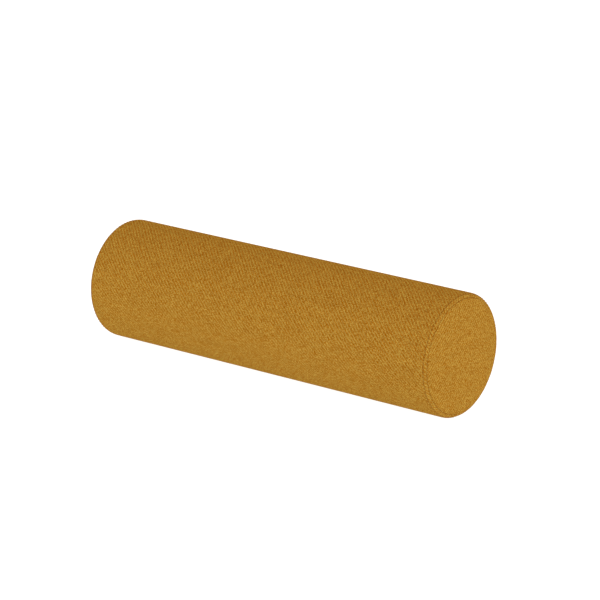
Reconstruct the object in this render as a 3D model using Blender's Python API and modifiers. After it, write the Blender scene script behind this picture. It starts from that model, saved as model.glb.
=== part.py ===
"""Bolster pillow with a removable zip cover.

A round pillow lies along X on the floor.  Its layers are nested shells that
share one profile, each at its own depth below the cover's skin, so every fit
follows from a few thicknesses.  The zip is in the back (+Y) of the cover.
Metres, +Z up, the origin at the middle of the underside.
"""

import math

import bmesh
import bpy
from mathutils import Matrix, Quaternion, Vector

# --- overall sizes -----------------------------------------------------------
RADIUS = 0.100
LENGTH = 0.700
END_CROWN = 0.0035  # how far an end bulges past its rim
RIM_RADIUS = 0.0106  # rounding between the tube and an end
FLOOR_PRESS = 0.002  # how far the underside is pressed flat
STEPS = 36  # facets round every turned shell
RIM_STEPS = 5  # facets from a seam to the tube

# --- layers, outside in ------------------------------------------------------
COVER_THICK = 0.0020
LINER_THICK = 0.0008
BATTING_THICK = 0.0040
GAP = 0.0003  # between pieces that touch

# --- seams -------------------------------------------------------------------
SEAM_ANGLE = 67.0  # degrees round the rim, from the tube towards the face
TOPSTITCH_ANGLE = 29.0
THREAD_RADIUS = 0.00035
GROOVE_HALF = 0.00085
GROOVE_SHARE = 0.65  # of the cover's thickness

# --- zip ---------------------------------------------------------------------
ZIP_ANGLE = 15.0  # degrees above the back of the tube, the middle of a facet
SLOT_LENGTH = 0.500
SLOT_WIDTH = 0.011
TAPE_WIDTH = 0.01225
TAPE_THICK = 0.0006
TAPE_OVERRUN = 0.009  # past each end of the slot
ROW_WIDTH = 0.0024
ROW_HEIGHT = 0.0018
ROW_INNER = 0.00075  # half of the gap between the rows
STOP_LENGTH = 0.0018
STOP_PROUD = 0.0005  # a top stop's height above its row
ZIP_ROOM = 0.0027  # extra room that the inner layers leave behind the zip

SLIDER_LENGTH = 0.011
SLIDER_WIDTH = 0.0086
PLATE_THICK = 0.0010
FLANGE_THICK = 0.0008
WEDGE_HALF = 0.00045
WEDGE_LENGTH = 0.0035
BRIDGE_LENGTH = 0.0072
BRIDGE_HALF_WIDTH = 0.0008
BRIDGE_BAR = 0.0008
BRIDGE_OPENING = 0.0018
PULL_LENGTH = 0.0240
PULL_WIDTH = 0.0066
PULL_THICK = 0.0010
PULL_BAR_HALF = 0.00055
PULL_WINDOW = (0.0046, 0.0026)  # its end from the hinge, and its width
SLIDE_CLEARANCE = 0.0004

STITCH_OFFSET = 0.0080  # from the zip's middle line
BARTACK_OFFSET = 0.0040  # past the slot's end
LABEL_SIZE = (0.040, 0.025)
LABEL_THICK = 0.0004

# --- values that follow ------------------------------------------------------
AXIS_Z = RADIUS - FLOOR_PRESS
ARC_R = RADIUS - RIM_RADIUS
ARC_X = LENGTH / 2 - END_CROWN - RIM_RADIUS
CROWN_ARM = (ARC_R**2 + END_CROWN**2) / (2 * END_CROWN)
CROWN_RADIUS = CROWN_ARM + RIM_RADIUS
CROWN_X = ARC_X - (CROWN_ARM - END_CROWN)
CROWN_ANGLE = math.asin(ARC_R / CROWN_ARM)
RIM_END = math.pi / 2 - CROWN_ANGLE
SEAM = math.radians(SEAM_ANGLE)
TOPSTITCH = math.radians(TOPSTITCH_ANGLE)
FACET_HALF = math.pi / STEPS
FACET_DIST = RADIUS * math.cos(FACET_HALF)
ZIP = math.radians(ZIP_ANGLE)

LINER_OUT = COVER_THICK + GAP
LINER_IN = LINER_OUT + LINER_THICK
BATTING_OUT = LINER_IN + GAP
BATTING_IN = BATTING_OUT + BATTING_THICK
CORE_OUT = BATTING_IN + GAP
GROOVE_DEPTH = GROOVE_SHARE * COVER_THICK
THREAD_DEPTH = GROOVE_DEPTH - GAP - THREAD_RADIUS

TAPE_DEPTH = COVER_THICK + GAP
ROW_BOTTOM = -COVER_THICK
ROW_TOP = ROW_BOTTOM + ROW_HEIGHT
ROW_OUTER = ROW_INNER + ROW_WIDTH
PLATE_BOTTOM = ROW_TOP + GAP
PLATE_TOP = PLATE_BOTTOM + PLATE_THICK
FLANGE_BOTTOM = ROW_BOTTOM + GAP
LOWER_TOP = -(TAPE_DEPTH + TAPE_THICK + GAP)
LOWER_BOTTOM = LOWER_TOP - PLATE_THICK
HINGE_W = PLATE_TOP + BRIDGE_OPENING / 2
SLOT_END = SLOT_LENGTH / 2
SLIDER_HALF = SLIDER_LENGTH / 2
TOP_STOP_END = -SLOT_END + 0.0010 + STOP_LENGTH
SLIDER_REST = TOP_STOP_END + SLIDE_CLEARANCE + SLIDER_HALF
SLIDER_LAST = SLOT_END - 2 * SLIDE_CLEARANCE - SLIDER_HALF
WEDGE_BACK = WEDGE_LENGTH - SLIDER_HALF
BOTTOM_STOP_START = SLIDER_LAST + WEDGE_BACK + SLIDE_CLEARANCE
TAPE_END = SLOT_END + TAPE_OVERRUN

MUSTARD = (0.423, 0.198, 0.022)
MUSTARD_THREAD = (0.330, 0.150, 0.018)
NATURAL = (0.780, 0.740, 0.640)
WADDING = (0.870, 0.870, 0.850)
FOAM = (0.840, 0.790, 0.600)
ZIP_TAN = (0.330, 0.155, 0.025)
NICKEL = (0.600, 0.590, 0.560)
WHITE = (0.820, 0.820, 0.800)


# --- scene set-up ------------------------------------------------------------
def new_collection(name):
    made = bpy.data.collections.new(name)
    bpy.context.scene.collection.children.link(made)
    return made


for old in list(bpy.data.objects):
    bpy.data.objects.remove(old, do_unlink=True)
PARTS = new_collection("bolster_pillow")
CUTTERS = new_collection("cutters")


def link(obj, collection=PARTS):
    for owner in list(obj.users_collection):
        owner.objects.unlink(obj)
    collection.objects.link(obj)
    if collection is CUTTERS:
        obj.hide_render = True
        obj.display_type = "WIRE"
    return obj


def finish(obj, color, roughness=0.85, metallic=0.0, smooth=0.0):
    """Gives a part its own material, and smooth shading below an angle."""
    made = bpy.data.materials.new(obj.name)
    made.use_nodes = True
    shader = made.node_tree.nodes["Principled BSDF"]
    shader.inputs["Base Color"].default_value = (*color, 1.0)
    shader.inputs["Roughness"].default_value = roughness
    shader.inputs["Metallic"].default_value = metallic
    made.diffuse_color = (*color, 1.0)
    obj.data.materials.clear()
    obj.data.materials.append(made)
    if smooth:
        bpy.ops.object.select_all(action="DESELECT")
        obj.select_set(True)
        bpy.context.view_layer.objects.active = obj
        bpy.ops.object.shade_smooth_by_angle(angle=math.radians(smooth))
        obj.select_set(False)
    return obj


def bake_modifiers(obj):
    """Replaces an object's data with the mesh that its modifiers make."""
    bpy.context.view_layer.update()
    graph = bpy.context.evaluated_depsgraph_get()
    mesh = bpy.data.meshes.new_from_object(obj.evaluated_get(graph))
    mesh.name = obj.name
    obj.modifiers.clear()
    obj.data = mesh
    return obj


def closed_mesh(obj):
    """Turns a filled curve into a mesh whose caps and sides are joined."""
    bpy.ops.object.select_all(action="DESELECT")
    obj.select_set(True)
    bpy.context.view_layer.objects.active = obj
    bpy.ops.object.convert(target="MESH")
    work = bmesh.new()
    work.from_mesh(obj.data)
    bmesh.ops.remove_doubles(work, verts=work.verts, dist=0.000001)
    bmesh.ops.recalc_face_normals(work, faces=work.faces)
    work.to_mesh(obj.data)
    work.free()
    obj.select_set(False)
    return obj


def boolean(obj, other, operation="DIFFERENCE"):
    change = obj.modifiers.new(operation.lower(), "BOOLEAN")
    change.operation = operation
    change.solver = "EXACT"
    change.object = other
    return obj


# --- the profile that all layers share ---------------------------------------
def rim_point(side, angle, depth):
    """A point (x, r) round the rim; at angle 0 the tube ends."""
    reach = RIM_RADIUS - depth
    return side * (ARC_X + reach * math.sin(angle)), ARC_R + reach * math.cos(angle)


def crown_point(side, angle, depth):
    """A point (x, r) on an end's crown; angle 0 is its middle."""
    reach = CROWN_RADIUS - depth
    return side * (CROWN_X + reach * math.cos(angle)), reach * math.sin(angle)


def end_run(side, start, depth, rim_steps, crown_steps=3):
    """Points from an angle on the rim to the middle of the end."""
    points = []
    for i in range(rim_steps + 1):
        angle = start + (RIM_END - start) * i / rim_steps
        points.append(rim_point(side, angle, depth))
    for i in range(1, crown_steps + 1):
        angle = CROWN_ANGLE * (1 - i / crown_steps)
        points.append(crown_point(side, angle, depth))
    return points


def beside(angle, depth, away):
    """An angle on the rim at a depth, moved by a distance along the rim."""
    return angle + math.asin(away / (RIM_RADIUS - depth))


def beside_seam(depth, away):
    return beside(SEAM, depth, away)


def depth_below_skin(x, r):
    """How deep a point lies under the cover's outer surface."""
    along = abs(x) - ARC_X
    if along <= 0:
        return RADIUS - r
    if math.atan2(along, r - ARC_R) <= RIM_END:
        return RIM_RADIUS - math.hypot(along, r - ARC_R)
    return CROWN_RADIUS - math.hypot(abs(x) - CROWN_X, r)


def turned(name, profile, closed, behind_zip=False):
    """Turns a profile of (x, r) points round the pillow's axis, then presses
    it flat on the floor and eases an inner layer back behind the zip."""
    mesh = bpy.data.meshes.new(name)
    edges = [(i, i + 1) for i in range(len(profile) - 1)]
    if closed:
        edges.append((len(profile) - 1, 0))
    mesh.from_pydata([(r, 0.0, x) for x, r in profile], edges, [])
    obj = link(bpy.data.objects.new(name, mesh))
    screw = obj.modifiers.new("turn", "SCREW")
    screw.axis = "Z"
    screw.steps = STEPS
    screw.render_steps = STEPS
    screw.use_merge_vertices = True
    screw.merge_threshold = 0.00001
    screw.use_smooth_shade = False
    bake_modifiers(obj)
    # The shell is made round Z: lay it along X, at its height above the floor.
    lay = Matrix.Translation((0.0, 0.0, AXIS_Z)) @ Matrix.Rotation(math.pi / 2, 4, "Y")
    obj.data.transform(lay)
    press(obj, behind_zip)
    return obj


def split_quads(work, middle):
    """Splits each quad along the same diagonal in every layer, so that the
    layers stay parallel where pressing bends their faces."""
    for face in [f for f in work.faces if len(f.verts) == 4]:
        corners = sorted(face.verts, key=lambda v: abs(v.co.x - middle.x))
        near = min(corners[:2], key=lambda v: (round(v.co.z, 7), v.co.y))
        opposite = face.verts[(list(face.verts).index(near) + 2) % 4]
        bmesh.utils.face_split(face, near, opposite)


def press(obj, behind_zip):
    out = Vector((0.0, math.cos(ZIP), math.sin(ZIP)))
    middle = Vector((0.0, 0.0, AXIS_Z))
    work = bmesh.new()
    work.from_mesh(obj.data)
    split_quads(work, middle)
    for vert in work.verts:
        spoke = vert.co - middle
        depth = depth_below_skin(spoke.x, math.hypot(spoke.y, spoke.z))
        if behind_zip:
            over = spoke.dot(out) - (FACET_DIST - depth - ZIP_ROOM)
            vert.co -= out * max(over, 0.0)
        vert.co.z = max(vert.co.z, depth)
    bmesh.ops.recalc_face_normals(work, faces=work.faces)
    work.to_mesh(obj.data)
    work.free()


def tube_run(depth, edge=-GAP / 2):
    """Points from the seam to where the tube starts, at the +X end."""
    seam = beside_seam(depth, edge)
    return [rim_point(1, seam * i / RIM_STEPS, depth) for i in range(RIM_STEPS, -1, -1)]


def there_and_back(run):
    """The run, then its mirror image, which ends at the -X seam."""
    return run + [(-x, r) for x, r in reversed(run)]


def tube_shell(name, outer, inner):
    """The rolled part of an inner layer, from seam to seam."""
    skin = there_and_back(tube_run(outer))
    lining = there_and_back(tube_run(inner))
    return turned(name, skin + list(reversed(lining)), True, True)


def end_shell(name, side, outer, inner):
    """The round end of an inner layer, from its seam to its middle."""
    skin = end_run(side, beside_seam(outer, GAP / 2), outer, rim_steps=3)
    lining = end_run(side, beside_seam(inner, GAP / 2), inner, rim_steps=3)
    return turned(name, list(reversed(skin)) + lining, False, True)


# --- the cover ---------------------------------------------------------------
def cover_tube():
    """The rolled panel: a groove for each topstitch, a step at each seam, and
    the slot that the zip lies in."""
    angles = [
        (beside_seam(GROOVE_DEPTH, -GAP / 2), GROOVE_DEPTH),
        (beside_seam(GROOVE_DEPTH, -GROOVE_HALF), GROOVE_DEPTH),
        (beside_seam(0, -GROOVE_HALF), 0),
        ((SEAM + TOPSTITCH) / 2, 0),
        (beside(TOPSTITCH, 0, GROOVE_HALF), 0),
        (beside(TOPSTITCH, GROOVE_DEPTH, GROOVE_HALF), GROOVE_DEPTH),
        (beside(TOPSTITCH, GROOVE_DEPTH, -GROOVE_HALF), GROOVE_DEPTH),
        (beside(TOPSTITCH, 0, -GROOVE_HALF), 0),
        (TOPSTITCH / 2, 0),
        (0.0, 0),
    ]
    half = [rim_point(1, angle, depth) for angle, depth in angles]
    lining = there_and_back(tube_run(COVER_THICK))
    obj = turned("cover_tube", there_and_back(half) + list(reversed(lining)), True)
    reach = 3 * COVER_THICK
    cutter = block(
        "zip_slot_cutter",
        (-SLOT_END, -SLOT_WIDTH / 2, -reach),
        (SLOT_END, SLOT_WIDTH / 2, reach),
        collection=CUTTERS,
    )
    return boolean(obj, cutter)


def cover_end(name, side):
    skin = end_run(side, beside_seam(0, GROOVE_HALF), 0, rim_steps=3)
    step = [
        rim_point(side, beside_seam(GROOVE_DEPTH, GROOVE_HALF), GROOVE_DEPTH),
        rim_point(side, beside_seam(GROOVE_DEPTH, GAP / 2), GROOVE_DEPTH),
    ]
    lining = end_run(side, beside_seam(COVER_THICK, GAP / 2), COVER_THICK, rim_steps=3)
    return turned(name, list(reversed(skin)) + step + lining, False)


def thread(name, points, parent=None, cyclic=False):
    """A row of stitches as one round thread through its points."""
    curve = bpy.data.curves.new(name, "CURVE")
    curve.dimensions = "3D"
    curve.bevel_depth = THREAD_RADIUS
    curve.bevel_resolution = 1
    curve.use_fill_caps = not cyclic
    spline = curve.splines.new("POLY")
    spline.points.add(len(points) - 1)
    for point, place in zip(spline.points, points):
        point.co = (*place, 1.0)
    spline.use_cyclic_u = cyclic
    obj = link(bpy.data.objects.new(name, curve))
    obj.parent = parent
    return obj


def thread_ring(name, place):
    """A row of stitches round the pillow at (x, r), lying in its groove."""
    x, r = place
    points = []
    for i in range(STEPS):
        turn = 2 * math.pi * i / STEPS
        z = max(AXIS_Z + r * math.sin(turn), THREAD_DEPTH)
        points.append((x, r * math.cos(turn), z))
    return thread(name, points, cyclic=True)


# --- the zip, in its own frame: x along it, y down across it, z outwards ------
def empty(name, location, parent=None):
    made = link(bpy.data.objects.new(name, None))
    made.empty_display_size = 0.01
    made.location = location
    made.parent = parent
    return made


def block(name, low, high, parent=None, collection=PARTS, bevel=0.0):
    """A box between two corners, in its parent's frame."""
    bpy.ops.mesh.primitive_cube_add(size=1.0, location=(0.0, 0.0, 0.0))
    obj = link(bpy.context.object, collection)
    obj.name = name
    size = [b - a for a, b in zip(low, high)]
    middle = [(a + b) / 2 for a, b in zip(low, high)]
    obj.data.transform(Matrix.Translation(middle) @ Matrix.Diagonal((*size, 1.0)))
    obj.parent = parent or ZIP_FRAME
    if bevel:
        edge = obj.modifiers.new("edge", "BEVEL")
        edge.width = bevel
        edge.segments = 1
    return obj


def outline(name, loops, thickness, parent=None, collection=PARTS):
    """A flat outline, the holes after the first loop, as thick as stated."""
    curve = bpy.data.curves.new(name, "CURVE")
    curve.dimensions = "2D"
    curve.fill_mode = "BOTH"
    curve.extrude = thickness / 2
    for loop in loops:
        spline = curve.splines.new("POLY")
        spline.points.add(len(loop) - 1)
        for point, place in zip(spline.points, loop):
            point.co = (*place, 0.0, 1.0)
        spline.use_cyclic_u = True
    obj = link(bpy.data.objects.new(name, curve), collection)
    obj.parent = parent or ZIP_FRAME
    return obj


def rounded_box(x0, x1, half_width, radius, steps=3):
    """A rectangle from x0 to x1 with rounded corners."""
    corners = (
        (x1 - radius, half_width - radius, 0.0),
        (x0 + radius, half_width - radius, 90.0),
        (x0 + radius, radius - half_width, 180.0),
        (x1 - radius, radius - half_width, 270.0),
    )
    loop = []
    for x, y, start in corners:
        for i in range(steps + 1):
            turn = math.radians(start + 90.0 * i / steps)
            loop.append((x + radius * math.cos(turn), y + radius * math.sin(turn)))
    return loop


def under_cover(depth, across):
    """The height, in the zip's frame, of the faceted surface at a depth."""
    edge = (RADIUS - depth) * math.sin(FACET_HALF)
    past = max(abs(across) - edge, 0.0)
    return -depth - past * math.tan(2 * FACET_HALF)


def strip(name, start, end, low, high, depth, thickness):
    """Cloth that follows the inside of the cover across the zip."""
    edge = (RADIUS - depth) * math.sin(FACET_HALF)
    stops = sorted({low, high, *(v for v in (-edge, edge) if low < v < high)})
    upper = [(v, under_cover(depth, v)) for v in stops]
    lower = [(v, z - thickness) for v, z in reversed(upper)]
    obj = outline(name, [upper + lower], end - start)
    # The outline's plane is turned to lie across the zip.
    obj.rotation_mode = "QUATERNION"
    obj.rotation_quaternion = Quaternion((0.5, 0.5, 0.5, 0.5))
    obj.location = ((start + end) / 2, 0.0, 0.0)
    return obj


def zip_slider(frame):
    """Two plates joined by the wedge, with side flanges and the pull's bridge."""
    half = SLIDER_WIDTH / 2
    body = outline(
        "zip_slider",
        [rounded_box(-SLIDER_HALF, SLIDER_HALF, half, 0.0020)],
        PLATE_THICK,
        frame,
    )
    body.location.z = (PLATE_BOTTOM + PLATE_TOP) / 2 - HINGE_W
    closed_mesh(body)
    lower = outline(
        "slider_lower_plate",
        [rounded_box(-SLIDER_HALF, SLIDER_HALF, half - 0.0004, 0.0020)],
        PLATE_THICK,
        frame,
        CUTTERS,
    )
    lower.location.z = (LOWER_BOTTOM + LOWER_TOP) / 2 - HINGE_W
    closed_mesh(lower)
    bite = 0.0003
    flange_x = SLIDER_HALF - 0.0020
    bridge = BRIDGE_LENGTH / 2
    post = BRIDGE_BAR + 0.0002
    bar_top = PLATE_TOP + BRIDGE_OPENING + BRIDGE_BAR
    boxes = {
        "slider_wedge": (
            (-SLIDER_HALF + 0.0001, -WEDGE_HALF, LOWER_TOP - bite),
            (WEDGE_BACK, WEDGE_HALF, PLATE_BOTTOM + bite),
        ),
        "slider_flange_upper": (
            (-flange_x, -half, FLANGE_BOTTOM),
            (flange_x, -half + FLANGE_THICK, PLATE_BOTTOM + bite),
        ),
        "slider_flange_lower": (
            (-flange_x, half - FLANGE_THICK, FLANGE_BOTTOM),
            (flange_x, half, PLATE_BOTTOM + bite),
        ),
        "slider_post_front": (
            (-bridge, -BRIDGE_HALF_WIDTH, PLATE_TOP - bite),
            (post - bridge, BRIDGE_HALF_WIDTH, bar_top),
        ),
        "slider_post_back": (
            (bridge - post, -BRIDGE_HALF_WIDTH, PLATE_TOP - bite),
            (bridge, BRIDGE_HALF_WIDTH, bar_top),
        ),
        "slider_bar": (
            (-bridge, -BRIDGE_HALF_WIDTH, bar_top - BRIDGE_BAR),
            (bridge, BRIDGE_HALF_WIDTH, bar_top),
        ),
    }
    boolean(body, lower, "UNION")
    for name, (low, high) in boxes.items():
        low = (low[0], low[1], low[2] - HINGE_W)
        high = (high[0], high[1], high[2] - HINGE_W)
        boolean(body, block(name, low, high, frame, CUTTERS), "UNION")
    return body


def zip_pull(frame):
    """A flat tab with a window, whose end bar lies under the slider's bridge."""
    window_end, window_width = PULL_WINDOW
    half = PULL_WIDTH / 2
    neck = half * 0.7
    shoulder = window_end + 0.0010
    tip = rounded_box(-PULL_LENGTH, -shoulder, half, 0.0028, 4)
    side = [(PULL_BAR_HALF, neck), (-shoulder, neck), (-shoulder - 0.0022, half)]
    tip_upper = [p for p in tip if p[0] < -PULL_LENGTH + 0.0030 and p[1] >= 0]
    upper = side + tip_upper
    lower = [(x, -y) for x, y in reversed(upper)]
    window = rounded_box(-window_end, -PULL_BAR_HALF, window_width / 2, 0.0004, 2)
    eye = -PULL_LENGTH + 0.0040
    hole = rounded_box(eye - 0.0016, eye + 0.0016, 0.0016, 0.0015, 3)
    return outline("zip_pull", [upper + lower, window, hole], PULL_THICK, frame)


# --- assembly ----------------------------------------------------------------
ZIP_FRAME = empty(
    "zip_frame",
    (0.0, FACET_DIST * math.cos(ZIP), AXIS_Z + FACET_DIST * math.sin(ZIP)),
)
ZIP_FRAME.rotation_euler = (ZIP - math.pi / 2, 0.0, 0.0)
SLIDE_AXIS = empty("slide_axis", (SLIDER_REST, 0.0, HINGE_W), ZIP_FRAME)
PULL_AXIS = empty("pull_axis", (0.0, 0.0, 0.0), SLIDE_AXIS)

core_run = tube_run(CORE_OUT)[::-1] + end_run(1, SEAM, CORE_OUT, rim_steps=3)[1:]
finish(
    turned("foam_core", there_and_back(core_run[::-1]), False, True),
    FOAM,
    0.95,
    smooth=30,
)
finish(tube_shell("batting_wrap", BATTING_OUT, BATTING_IN), WADDING, 0.95, smooth=30)
finish(tube_shell("liner_tube", LINER_OUT, LINER_IN), NATURAL, 0.9, smooth=30)
finish(cover_tube(), MUSTARD, 0.9, smooth=30)
for hand, sign in (("left", -1), ("right", 1)):
    batting = end_shell(f"batting_end_{hand}", sign, BATTING_OUT, BATTING_IN)
    finish(batting, WADDING, 0.95, smooth=30)
    liner = end_shell(f"liner_end_{hand}", sign, LINER_OUT, LINER_IN)
    finish(liner, NATURAL, 0.9, smooth=30)
    finish(cover_end(f"cover_end_{hand}", sign), MUSTARD, 0.9, smooth=30)
    topstitch = thread_ring(f"topstitch_{hand}", rim_point(sign, TOPSTITCH, THREAD_DEPTH))
    finish(topstitch, MUSTARD_THREAD, 0.7)
    seam = thread_ring(f"seam_stitch_{hand}", rim_point(sign, SEAM, THREAD_DEPTH))
    finish(seam, MUSTARD_THREAD, 0.7)

for hand, sign in (("upper", -1), ("lower", 1)):
    inner_edge, outer_edge = sorted((sign * ROW_INNER, sign * (ROW_INNER + TAPE_WIDTH)))
    tape = strip(
        f"zip_tape_{hand}",
        -TAPE_END,
        TAPE_END,
        inner_edge,
        outer_edge,
        TAPE_DEPTH,
        TAPE_THICK,
    )
    finish(tape, ZIP_TAN, 0.9)
    inner_edge, outer_edge = sorted((sign * ROW_INNER, sign * ROW_OUTER))
    row = block(
        f"zip_row_{hand}",
        (TOP_STOP_END + GAP, inner_edge, ROW_BOTTOM),
        (BOTTOM_STOP_START - GAP, outer_edge, ROW_TOP),
    )
    finish(row, ZIP_TAN, 0.5)
    stop = block(
        f"zip_top_stop_{hand}",
        (TOP_STOP_END - STOP_LENGTH, inner_edge, ROW_BOTTOM),
        (TOP_STOP_END, outer_edge, ROW_TOP + STOP_PROUD),
        bevel=0.0002,
    )
    finish(stop, NICKEL, 0.35, 1.0)
    across = sign * STITCH_OFFSET
    height = GAP + THREAD_RADIUS
    reach = SLOT_END + BARTACK_OFFSET
    ends = [(-reach, across, height), (reach, across, height)]
    finish(thread(f"zip_stitch_{hand}", ends, ZIP_FRAME), MUSTARD_THREAD, 0.7)

finish(
    block(
        "zip_bottom_stop",
        (BOTTOM_STOP_START, -ROW_OUTER, ROW_BOTTOM),
        (BOTTOM_STOP_START + STOP_LENGTH, ROW_OUTER, ROW_TOP),
        bevel=0.0002,
    ),
    NICKEL,
    0.35,
    1.0,
)
for hand, sign in (("left", -1), ("right", 1)):
    x = sign * (SLOT_END + BARTACK_OFFSET)
    half = STITCH_OFFSET - 2 * THREAD_RADIUS - GAP
    height = GAP + THREAD_RADIUS
    tack = thread(f"zip_bartack_{hand}", [(x, -half, height), (x, half, height)], ZIP_FRAME)
    finish(tack, MUSTARD_THREAD, 0.7)

finish(zip_slider(SLIDE_AXIS), NICKEL, 0.35, 1.0)
finish(zip_pull(PULL_AXIS), NICKEL, 0.35, 1.0)
label = strip(
    "care_label",
    TAPE_END + 0.004,
    TAPE_END + 0.004 + LABEL_SIZE[0],
    -LABEL_SIZE[1] / 2,
    LABEL_SIZE[1] / 2,
    TAPE_DEPTH,
    LABEL_THICK,
)
finish(label, WHITE, 0.8)
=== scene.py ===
"""Bolster pillow with a removable zip cover: the looks built round its frame.

Metres, +Z up, the pillow along X with its underside on the floor.  A place on
the pillow's skin is given by `along`, the distance over the skin from the
middle of the tube, and `turn`, the angle round from the top towards -Y.
"""

from __future__ import annotations

import logging
import math
from collections.abc import Iterator, Sequence
from contextlib import contextmanager
from dataclasses import dataclass
from enum import Enum

import bpy
import numpy as np
from mathutils import Matrix, Vector, kdtree, noise


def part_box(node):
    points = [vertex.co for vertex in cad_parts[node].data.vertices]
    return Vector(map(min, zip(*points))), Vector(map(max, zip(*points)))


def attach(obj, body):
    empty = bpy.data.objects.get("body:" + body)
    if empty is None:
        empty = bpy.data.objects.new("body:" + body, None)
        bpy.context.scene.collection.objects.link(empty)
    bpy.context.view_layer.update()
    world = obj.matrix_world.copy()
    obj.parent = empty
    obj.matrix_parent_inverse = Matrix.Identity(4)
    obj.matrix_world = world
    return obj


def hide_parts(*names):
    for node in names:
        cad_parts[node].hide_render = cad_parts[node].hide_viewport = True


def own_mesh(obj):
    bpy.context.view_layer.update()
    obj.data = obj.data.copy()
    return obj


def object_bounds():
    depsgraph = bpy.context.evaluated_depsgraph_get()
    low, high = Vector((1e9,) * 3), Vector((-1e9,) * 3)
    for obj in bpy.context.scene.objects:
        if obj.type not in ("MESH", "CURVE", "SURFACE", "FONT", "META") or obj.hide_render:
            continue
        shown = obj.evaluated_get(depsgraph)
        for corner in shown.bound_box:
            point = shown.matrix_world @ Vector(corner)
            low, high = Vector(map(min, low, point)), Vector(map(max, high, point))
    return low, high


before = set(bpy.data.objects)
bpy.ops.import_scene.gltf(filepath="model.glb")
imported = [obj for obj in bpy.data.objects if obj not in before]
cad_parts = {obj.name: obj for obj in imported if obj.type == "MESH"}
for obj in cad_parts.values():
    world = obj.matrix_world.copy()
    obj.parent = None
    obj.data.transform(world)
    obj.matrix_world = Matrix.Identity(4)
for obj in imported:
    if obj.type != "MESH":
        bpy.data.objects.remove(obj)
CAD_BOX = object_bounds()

Colour = tuple[float, float, float]
Object = bpy.types.Object
Socket = bpy.types.NodeSocket
Value = Socket | float

log = logging.getLogger("bolster")
MM = 0.001
FULL_TURN = 2 * math.pi
CLOTH_MAP = "cloth"


class Side(Enum):
    """One of two mirrored places, by the sign of the distance to it."""

    @property
    def word(self) -> str:
        """The side's word in the names of pieces."""
        return self.name.lower()


class End(Side):
    """The pillow's two ends, by the sign of X."""

    LEFT = -1
    RIGHT = 1


class Hand(Side):
    """The two halves of the zip, by the sign of their distance across it."""

    UPPER = -1
    LOWER = 1


class Weave(Enum):
    """A weave's repeat in threads, and how many of them a warp float covers."""

    PLAIN = (2, 1)
    TWILL = (4, 2)


# --- modelling helpers --------------------------------------------------------
def deselect() -> None:
    """Leaves object mode with nothing selected."""
    if bpy.context.mode != "OBJECT":
        bpy.ops.object.mode_set(mode="OBJECT")
    bpy.ops.object.select_all(action="DESELECT")


def activate(piece: Object) -> None:
    """Makes one piece the only selected, active one.

    Args:
        piece: The piece to select.
    """
    deselect()
    piece.select_set(True)
    bpy.context.view_layer.objects.active = piece


@contextmanager
def editing(piece: Object, select: str = "SELECT") -> Iterator[None]:
    """Edits one piece's mesh.

    Args:
        piece: The piece to edit.
        select: SELECT or DESELECT for all of it, or KEEP for what is selected.
    """
    activate(piece)
    bpy.ops.object.mode_set(mode="EDIT")
    if select != "KEEP":
        bpy.ops.mesh.select_all(action=select)
    yield
    bpy.ops.object.mode_set(mode="OBJECT")


def points_of(piece: Object) -> np.ndarray:
    """Returns the piece's vertices as an array of shape (n, 3).

    Args:
        piece: The piece to read.

    Returns:
        The points, in metres.
    """
    found = np.empty(len(piece.data.vertices) * 3)
    piece.data.vertices.foreach_get("co", found)
    return found.reshape(-1, 3)


def move_points(piece: Object, points: np.ndarray) -> None:
    """Puts the piece's vertices at the given points."""
    piece.data.vertices.foreach_set("co", np.ascontiguousarray(points).ravel())
    piece.data.update()


def corners_of(piece: Object) -> np.ndarray:
    """Finds the vertex under each corner of the piece's faces.

    Args:
        piece: The piece to read.

    Returns:
        One vertex number for each corner.
    """
    found = np.empty(len(piece.data.loops), np.int32)
    piece.data.loops.foreach_get("vertex_index", found)
    return found


def choose_faces(piece: Object, chosen: np.ndarray) -> None:
    """Selects only the chosen faces, ready for edit mode.

    Args:
        piece: The piece, out of edit mode.
        chosen: True for each face to select.
    """
    for kind in (piece.data.vertices, piece.data.edges):
        kind.foreach_set("select", np.zeros(len(kind), bool))
    piece.data.polygons.foreach_set("select", chosen)


def settle_object(piece: Object, name: str) -> Object:
    """Names a new piece and moves its object's place into its mesh.

    Args:
        piece: The piece, which may stand off the origin.
        name: Its name, also given to its mesh.

    Returns:
        The same piece.
    """
    piece.name = piece.data.name = name
    activate(piece)
    bpy.ops.object.transform_apply(location=True, rotation=True, scale=True)
    return piece


def apply_modifier(piece: Object, kind: str, **settings: object) -> None:
    """Adds one modifier to a piece and applies it.

    Args:
        piece: The piece to change.
        kind: The modifier's type.
        settings: Its settings by name.
    """
    made = piece.modifiers.new(kind.lower(), kind)
    for key, value in settings.items():
        setattr(made, key, value)
    activate(piece)
    bpy.ops.object.modifier_apply(modifier=made.name)


def smooth(piece: Object, degrees: float = 50.0) -> None:
    """Shades the piece smooth, apart from edges sharper than the angle."""
    activate(piece)
    bpy.ops.object.shade_smooth_by_angle(angle=math.radians(degrees))


def number_points(piece: Object, name: str, values: np.ndarray) -> None:
    """Keeps one whole number for each vertex under a name."""
    made = piece.data.attributes.new(name, "INT", "POINT")
    made.data.foreach_set("value", values.astype(np.int32))


def numbers_of_points(piece: Object, name: str) -> np.ndarray:
    """Takes back what number_points kept, and removes it from the mesh.

    Args:
        piece: The piece to change.
        name: The name that the numbers were kept under.

    Returns:
        One number for each vertex.
    """
    kept = piece.data.attributes[name]
    found = np.empty(len(piece.data.vertices), np.int32)
    kept.data.foreach_get("value", found)
    piece.data.attributes.remove(kept)
    return found


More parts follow.
